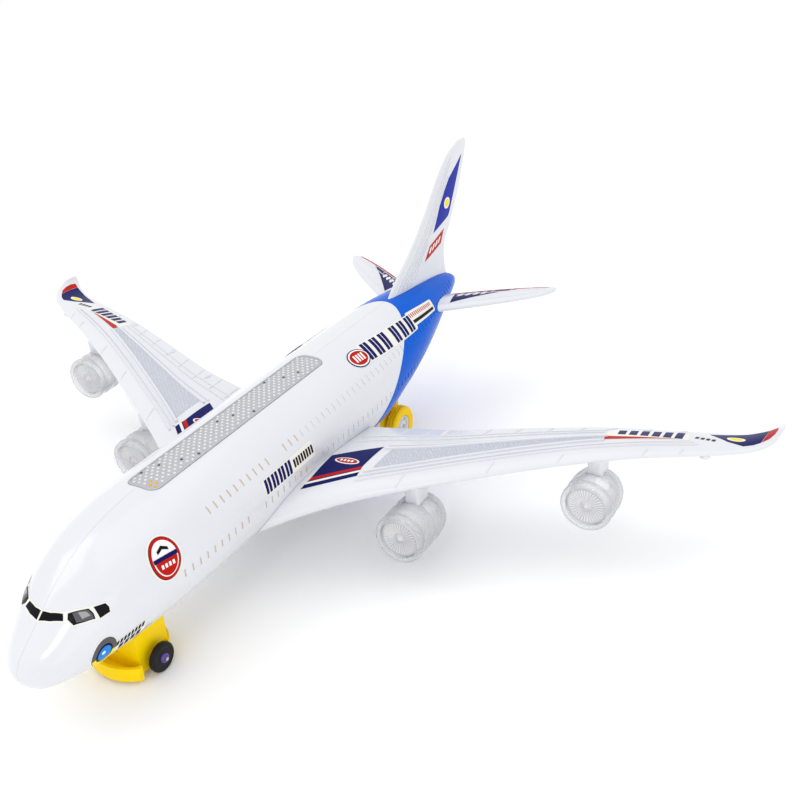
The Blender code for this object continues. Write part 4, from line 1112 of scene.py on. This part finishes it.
def build_rear_wheels():
    for side, word in SIDES:
        low, high = node_box(f"rear_wheel_{word}")
        centre = (0, *((low + high) / 2)[1:])
        radius = (high[2] - low[2]) / 2
        near, far = near_and_far(f"rear_wheel_{word}")
        middle = (near + far) / 2
        tyre = [(7.3, near), (12.2, near), (radius - 0.6, near + 0.4), (radius, near + 1.2)]
        for groove in (middle - 1.3, middle + 0.9):
            tyre += [(radius, groove - 0.5), (radius - 0.7, groove - 0.3), (radius - 0.7, groove + 0.3),
                     (radius, groove + 0.5)]
        tyre += [(radius, far - 1.9), (radius - 0.4, far - 1.0), (12.2, far - 0.3), (11.2, far),
                 (9.6, far - 0.1), (8.2, far - 0.5), (7.3, far - 0.6)]
        spun(f"rear_wheel_{word}", tyre, centre, (side, 0, 0), 96, slot="yellow_tyre", body="rear_axle")
        near, far = near_and_far(f"rear_hub_{word}")
        hub = [(1.4, near), (1.4, far), (3.2, far), (3.5, far - 0.3), (4.0, far - 1.8), (5.6, far - 1.8),
               (6.1, far - 0.4), (6.9, far - 0.2), (7.0, far - 0.5), (7.0, near)]
        spun(f"rear_hub_{word}", hub, centre, (side, 0, 0), 64, body="rear_axle")
        spokes = bmesh.new()
        for i in range(6):
            sin, cos = math.sin(2 * math.pi * i / 6), math.cos(2 * math.pi * i / 6)

            def spoke(u, v, level):
                return (side * (far - 1.9 + 1.1 * level), centre[1] + sin * u + cos * v,
                        centre[2] + cos * u - sin * v)
            prism_into(spokes, [(3.4, -0.5), (6.2, -0.5), (6.2, 0.5), (3.4, 0.5)], spoke)
        from_bmesh(f"rear_spokes_{word}", spokes, body="rear_axle")


def build_bracket():
    low, high = node_box("rear_bracket")
    y, axle_z = (low[1] + high[1]) / 2, middle_of("rear_axle")[2]
    bm = bmesh.new()
    box_into(bm, low, (high[0], high[1], 50.0))
    bracket = from_bmesh("rear_bracket", bm, slot="yellow_plastic")
    carve(bracket, hull_tool(70.0, 102.0, 0.1))
    cut(bracket, ((-9.5, low[1] - 10, 0), (9.5, high[1] + 10, axle_z + 8.0)))
    cut(bracket, (1.6, (-30, y, axle_z), (30, y, axle_z), 32))
    bevel(bracket, 0.4)


# ---- stickers of the airframe --------------------------------------------
def build_windshield():
    border = [(-207.6, 0), (-206.9, 12), (-204.7, 26), (-203.3, 31), (-199.8, 39.6), (-196.9, 46),
              (-195.2, 48.8), (-190.7, 55.4), (-190.2, 61), (-191.1, 66.8), (-196.9, 64.3), (-198.5, 61),
              (-202.9, 53.8), (-206.7, 45.6), (-206.7, 36), (-208.0, 32.6), (-210.9, 17), (-212.4, 0)]
    nose_pane = [(-208.2, 1.5), (-207.6, 12), (-205.4, 26.6), (-207.4, 31.8), (-210.2, 17), (-211.8, 1.5)]
    side_pane = [(-204.3, 31.2), (-200.6, 40), (-197.7, 46.8), (-197.4, 54), (-198.1, 59.5), (-202.3, 52.5),
                 (-206, 45.1), (-206, 35.2)]
    rear_pane = [(-195.9, 49.5), (-191.3, 56.1), (-190.9, 61), (-191.6, 65.7), (-196.4, 63.1)]
    sheen = [(-203.2, 35.5), (-200.0, 42), (-198.2, 47.5), (-198.0, 54), (-198.6, 58), (-202.4, 51.2),
             (-204.6, 46)]
    glint = [(-201.6, 40), (-199.2, 46.5), (-198.9, 53), (-202.2, 48.5)]
    for side, word in SIDES:
        films(word, on_hull_grid(side), ("windshield_border", [border], CREAM_INK, 1, 1.6, 4.0),
              ("windshield_panes", [nose_pane, side_pane, rear_pane], BLACK_INK, 2, 1.4, 3.0),
              ("windshield_sheen", [sheen], GREY_INK, 3, 1.4, 3.0),
              ("windshield_glint", [glint], PALE_INK, 4, 1.4, 3.0))


def build_nose_marks(side, word):
    films(word, on_hull(side, -199.3, 107.5),
          ("nose_disc_edge", [oval(0, 0, 7.0, 9.2)], CREAM_INK, 1),
          ("nose_disc_ring", [oval(0, 0, 6.5, 8.6)], GREY_INK, 2),
          ("nose_disc_arc", [band(0, 0, (6.2, 8.2), (4.3, 5.7), 190, 350)], YELLOW_INK, 3),
          ("nose_disc_dark", [oval(0, 0, 4.2, 5.5)], BLACK_INK, 3),
          ("nose_disc_middle", [oval(0, 0, 3.4, 4.5)], SKY_INK, 4, 1.5, 1.5),
          ("nose_disc_glint", [oval(-0.6, 1.1, 0.9, 1.0, 20)], WHITE_INK, 5, 1.0, 1.0))
    films(word, on_hull(side, -185.0, math.degrees(turn_at_height(-185.0, 44.0))),
          ("nose_bars_backing", [rounded(-8.5, -4.2, 8.9, 3.9, 1.2)], CREAM_INK, 1),
          ("nose_bars_upper", bars(-8.0, 8, 2.05, 1.35, 0.5, 3.4, 0.4), BLACK_INK, 2, 2, 1.6),
          ("nose_bars_lower", bars(-6.2, 4, 3.3, 2.3, -3.8, -0.5, 0.4), NAVY_INK, 2, 2, 1.6))


def build_badge(side, word):
    """An upright oval in two halves, with a stripe, a chevron and four bars."""
    chevron = [(-3.2, 3.0), (0.0, 4.6), (3.2, 3.0), (3.2, 4.6), (0.0, 6.4), (-3.2, 4.6)]
    films(word, on_hull(side, -157.0, 64.0 if side > 0 else 74.0, -10.0),
          ("badge_edge", [oval(0, 0, 9.6, 11.6, 48)], CREAM_INK, 1),
          ("badge_line", [oval(0, 0, 8.6, 10.7, 48)], BLACK_INK, 2),
          ("badge_ring", [oval(0, 0, 8.3, 10.4, 48)], RED_INK, 3),
          ("badge_field", [oval(0, 0, 7.0, 8.9, 40)], WHITE_INK, 4),
          ("badge_lower", [oval(0, 0, 6.4, 8.3, 24, 180.0, 359.9)], RED_INK, 5),
          ("badge_stripe", [oblong(-6.9, -0.4, 6.9, 1.6)], NAVY_INK, 6),
          ("badge_chevron", [chevron], BLACK_INK, 5, 1.5, 1.5),
          ("badge_bars", bars(-3.9, 4, 2.2, 1.3, -4.2, -2.2), WHITE_INK, 6, 1.5, 1.5))


def oblong(low_u, low_v, high_u, high_v):
    return [(low_u, low_v), (high_u, low_v), (high_u, high_v), (low_u, high_v)]


STARBOARD_DROP = 15.0    # how much lower, in degrees, the rear stickers sit to starboard


def strokes(start, glyphs, pitch, width, gap, low, high, lean):
    """Pairs of strokes, one pair in place of each letter."""
    made = []
    for i in range(glyphs):
        made += bars(start + i * pitch, 2, width + gap, width, low, high, lean)
    return made


def build_hull_marks(side, word):
    films(word, on_hull(side, -60.0, 74.5),
          ("side_backing", [rounded(-22.6, -4.6, 24.6, 4.6, 1.6)], CREAM_INK, 1),
          ("side_bars", strokes(-21.6, 4, 6.3, 2.0, 0.9, -3.9, 3.9, 1.1), NAVY_INK, 2),
          ("side_bars_small", bars(5.0, 8, 2.4, 1.5, -2.3, 2.3, 0.5), BLACK_INK, 2))
    lower = 0.0 if side > 0 else STARBOARD_DROP
    films(word, on_hull(side, 40.0, 34.5 + lower, -6.0),
          ("oval_edge", [oval(0, 0, 8.9, 6.9, 40)], NAVY_INK, 3),
          ("oval_white", [oval(0, 0, 8.2, 6.2, 40)], WHITE_INK, 4),
          ("oval_red", [oval(0, 0, 7.2, 5.2, 40)], RED_INK, 5),
          ("oval_bars", bars(-4.4, 4, 2.4, 1.4, -2.6, 2.6, 0.5), WHITE_INK, 6, 1.5, 1.5))
    films(word, on_hull(side, 76.0, 41.0 + lower, -8.0),
          ("tail_backing", [rounded(-30.2, -6.9, 30.2, 6.9, 2.0)], CREAM_INK, 1),
          ("tail_bars", strokes(-28.6, 3, 9.2, 2.7, 0.8, -6.0, 6.0, 1.3)
           + strokes(2.2, 3, 9.2, 2.7, 0.8, -6.0, 6.0, 1.3), NAVY_INK, 2))
    films(word, on_hull(side, 120.5, 50.2 + lower, -9.0),
          ("label_backing", [rounded(-17.6, -4.8, 17.6, 4.8, 1.4)], CREAM_INK, 1),
          ("label_bars", bars(-15.6, 14, 2.2, 0.9, 0.6, 3.2, 0.3), RED_INK, 2),
          ("label_line", [oblong(-15.6, -3.3, 15.6, -1.3)], BLACK_INK, 2))


def build_wing_marks(side, word):
    stripes = []
    for part, ink, near, far in (("red", RED_INK, 0.0, 3.0), ("line", NAVY_INK, 3.0, 3.9),
                                 ("cream", CREAM_INK, 3.9, 5.9), ("stripe", NAVY_INK, 5.9, 9.4)):
        inner = [(40.8 - 0.02 * s, -46.6 - 1.15 * s) for s in (far, near)]
        outer = [(63.6 + 0.15 * s, -28.2 - 0.95 * s) for s in (far, near)]
        stripes.append((f"root_{part}", [[inner[0], outer[0], outer[1], inner[1]]], ink, 1, 3.0, 3.0))
    marks = []
    for i in range(6):
        u = 184.6 + 6.0 * i
        low, high = 46.8 + (u - 181.8) * 0.215, 52.4 + (u - 180.0) * 0.345
        marks.append([(u, low), (u + 4.2, low + 0.9), (u + 3.0, high + 1.4), (u - 1.0, high)])
    root_navy = [(38.6, -21.8), (40.8, -46.6), (63.6, -28.2), (63.7, -4.9)]
    backing = [(179.6, 36.9), (222.8, 55.0), (219.6, 66.6), (178.8, 52.4)]
    tip_navy = [(230.0, 70.4), (241.6, 62.4), (250.6, 60.0), (255.0, 62.6), (258.4, 66.2), (259.2, 83.4),
                (256.2, 82.2), (244.4, 77.0)]
    tip_red = [(258.7, 66.6), (261.6, 70.6), (263.2, 76.0), (263.6, 81.5), (263.0, 85.4), (259.5, 83.7)]
    u, v = 51.6, -25.9
    films(word, on_wing(side),
          ("root_navy", [root_navy], NAVY_INK, 1, 3.0, 3.0), *stripes,
          ("root_oval", [oval(u, v, 8.0, 3.2, 32)], WHITE_INK, 2),
          ("root_oval_red", [oval(u, v, 6.9, 2.4, 32)], RED_INK, 3),
          ("root_oval_bars", bars(u - 4.4, 4, 2.4, 1.4, v - 0.9, v + 0.9), WHITE_INK, 4, 1.2, 1.2),
          ("outer_backing", [backing], CREAM_INK, 1, 3.0, 3.0),
          ("outer_red", [[(179.3, 41.8), (180.5, 37.2), (215.9, 53.4)]], RED_INK, 2, 3.0, 3.0),
          ("outer_bars", marks, NAVY_INK, 2),
          ("outer_small", bars(224.4, 4, 3.0, 1.9, 59.4, 62.4, 0.2), BLACK_INK, 1, 1.5, 1.5),
          ("tip_navy", [tip_navy], NAVY_INK, 1, 1.8, 2.0), ("tip_red", [tip_red], RED_INK, 1, 0.9, 2.0),
          ("tip_oval", [oval(244.9, 67.4, 5.0, 2.9, 28)], WHITE_INK, 2, 1.2, 1.2),
          ("tip_oval_yellow", [oval(244.9, 67.4, 3.6, 2.0, 28)], YELLOW_INK, 3, 1.2, 1.2))


def build_tail_marks():
    fin_navy = [(222.0, 159.2), (200.2, 148.2), (187.3, 136.4), (173.9, 116.9), (198.2, 121.1),
                (200.4, 123.4)]
    fin_red = [(191.0, 114.2), (167.6, 109.4), (159.4, 100.8), (186.3, 105.0)]
    fin_bars = [[(u, z), (u + 2.6, z + 0.4), (u + 5.4, z + 4.2), (u + 2.8, z + 3.8)]
                for u, z in ((165.6, 104.2), (170.4, 105.0), (175.2, 105.8), (180.0, 106.6))]
    flat_bars = [[(u, 58.0), (u + 2.4, 63.0), (u + 2.2, 80.0), (u - 0.2, 80.0)]
                 for u in (25.5, 30.0, 34.5, 39.0)]
    flat_red = [(19.0, 92.0), (77.0, 90.0), (77.0, 97.5), (19.0, 97.5)]
    for side, word in SIDES:
        films(word, on_fin(side), ("fin_navy", [fin_navy], ROYAL_INK, 1, 2.5, 2.5),
              ("fin_oval", [oval(195.9, 131.6, 4.6, 4.0, 28)], WHITE_INK, 2, 1.5, 1.5),
              ("fin_oval_yellow", [oval(195.9, 131.6, 3.2, 2.8, 28)], YELLOW_INK, 3, 1.5, 1.5),
              ("fin_red", [fin_red], RED_INK, 1, 2.5, 2.5), ("fin_bars", fin_bars, WHITE_INK, 2, 1.5, 1.5))
        films(word, on_tailplane(side),
              ("tailplane_navy", [[(26.0, 20.0), (58.0, 87.0), (21.5, 87.0)]], NAVY_INK, 1, 2.5, 8.0),
              ("tailplane_bars", flat_bars, WHITE_INK, 2, 2.0, 8.0),
              ("tailplane_red", [flat_red], RED_INK, 1, 2.5, 8.0))


# ---- stage ----------------------------------------------------------------
def build_stage():
    mesh = bpy.data.meshes.new("floor")
    bm = bmesh.new()
    bmesh.ops.create_grid(bm, x_segments=2, y_segments=2, size=8.0)
    bm.to_mesh(mesh)
    bm.free()
    mesh.materials.append(finished(new_material("floor_paper")[0], Base_Color=(0.97, 0.97, 0.97, 1.0),
                                   Roughness=0.9, Specular_IOR_Level=0.1))
    add_object("floor", mesh)

    world = bpy.data.worlds.new("studio")
    world.use_nodes = True
    wire(world.node_tree, world.node_tree.nodes["Background"], Color=(1.0, 1.0, 1.0, 1.0), Strength=1.0)
    bpy.context.scene.world = world
    for name, place, aim, size, power in (
            ("key", (-1.0, -0.5, 1.4), (0.0, 0.0, 0.05), 0.9, 4.0),
            ("fill", (1.2, -0.9, 0.5), (0.0, 0.0, 0.05), 0.9, 1.5),
            ("top", (0.1, 0.3, 1.7), (0.0, 0.0, 0.05), 1.5, 3.0),
            ("glint", (0.35, -1.2, 1.0), (0.05, -0.05, 0.05), 0.22, 1.4)):
        lamp = bpy.data.lights.new(name, "AREA")
        lamp.shape, lamp.size, lamp.energy = "SQUARE", size, power
        thing = add_object(name, lamp)
        thing.location = place
        thing.rotation_euler = (Vector(aim) - Vector(place)).to_track_quat("-Z", "Y").to_euler()


def build_camera():
    data = bpy.data.cameras.new("camera")
    data.lens, data.sensor_width, data.clip_start = 50.4, 36.0, 0.01
    camera = add_object("camera", data)
    right = Vector((0.8660, 0.4967, -0.0562)).normalized()
    back = right.cross(Vector((-0.1979, 0.4439, 0.8739))).normalized()
    turn = Matrix((right, back.cross(right), back)).transposed().to_4x4()
    camera.matrix_world = Matrix.Translation((0.3621, -0.4690, 0.3923)) @ turn
    bpy.context.scene.camera = camera
    bpy.context.scene.view_settings.view_transform = "Standard"


def dress_nodes():
    """Give every carried-over solid the look of its material slot."""
    slots = {part["node"]: part["material_slot"] for part in frame["record"]["subparts"]}
    for name, thing in frame["nodes"].items():
        look = SLOT_LOOKS[slots[name]]
        for material_slot in thing.material_slots:
            material_slot.material = look


def main():
    dress_nodes()
    build_hull()
    build_windows()
    build_door()
    build_grille()
    for side, word in SIDES:
        build_wing(side, word)
        build_tailplane(side, word)
        for place in ("inner", "outer"):
            build_engine(word, place)
        build_nose_marks(side, word)
        build_badge(side, word)
        build_hull_marks(side, word)
        build_wing_marks(side, word)
    build_fin()
    build_windshield()
    build_tail_marks()
    build_drive_unit()
    build_rear_wheels()
    build_bracket()
    build_stage()
    build_camera()


main()
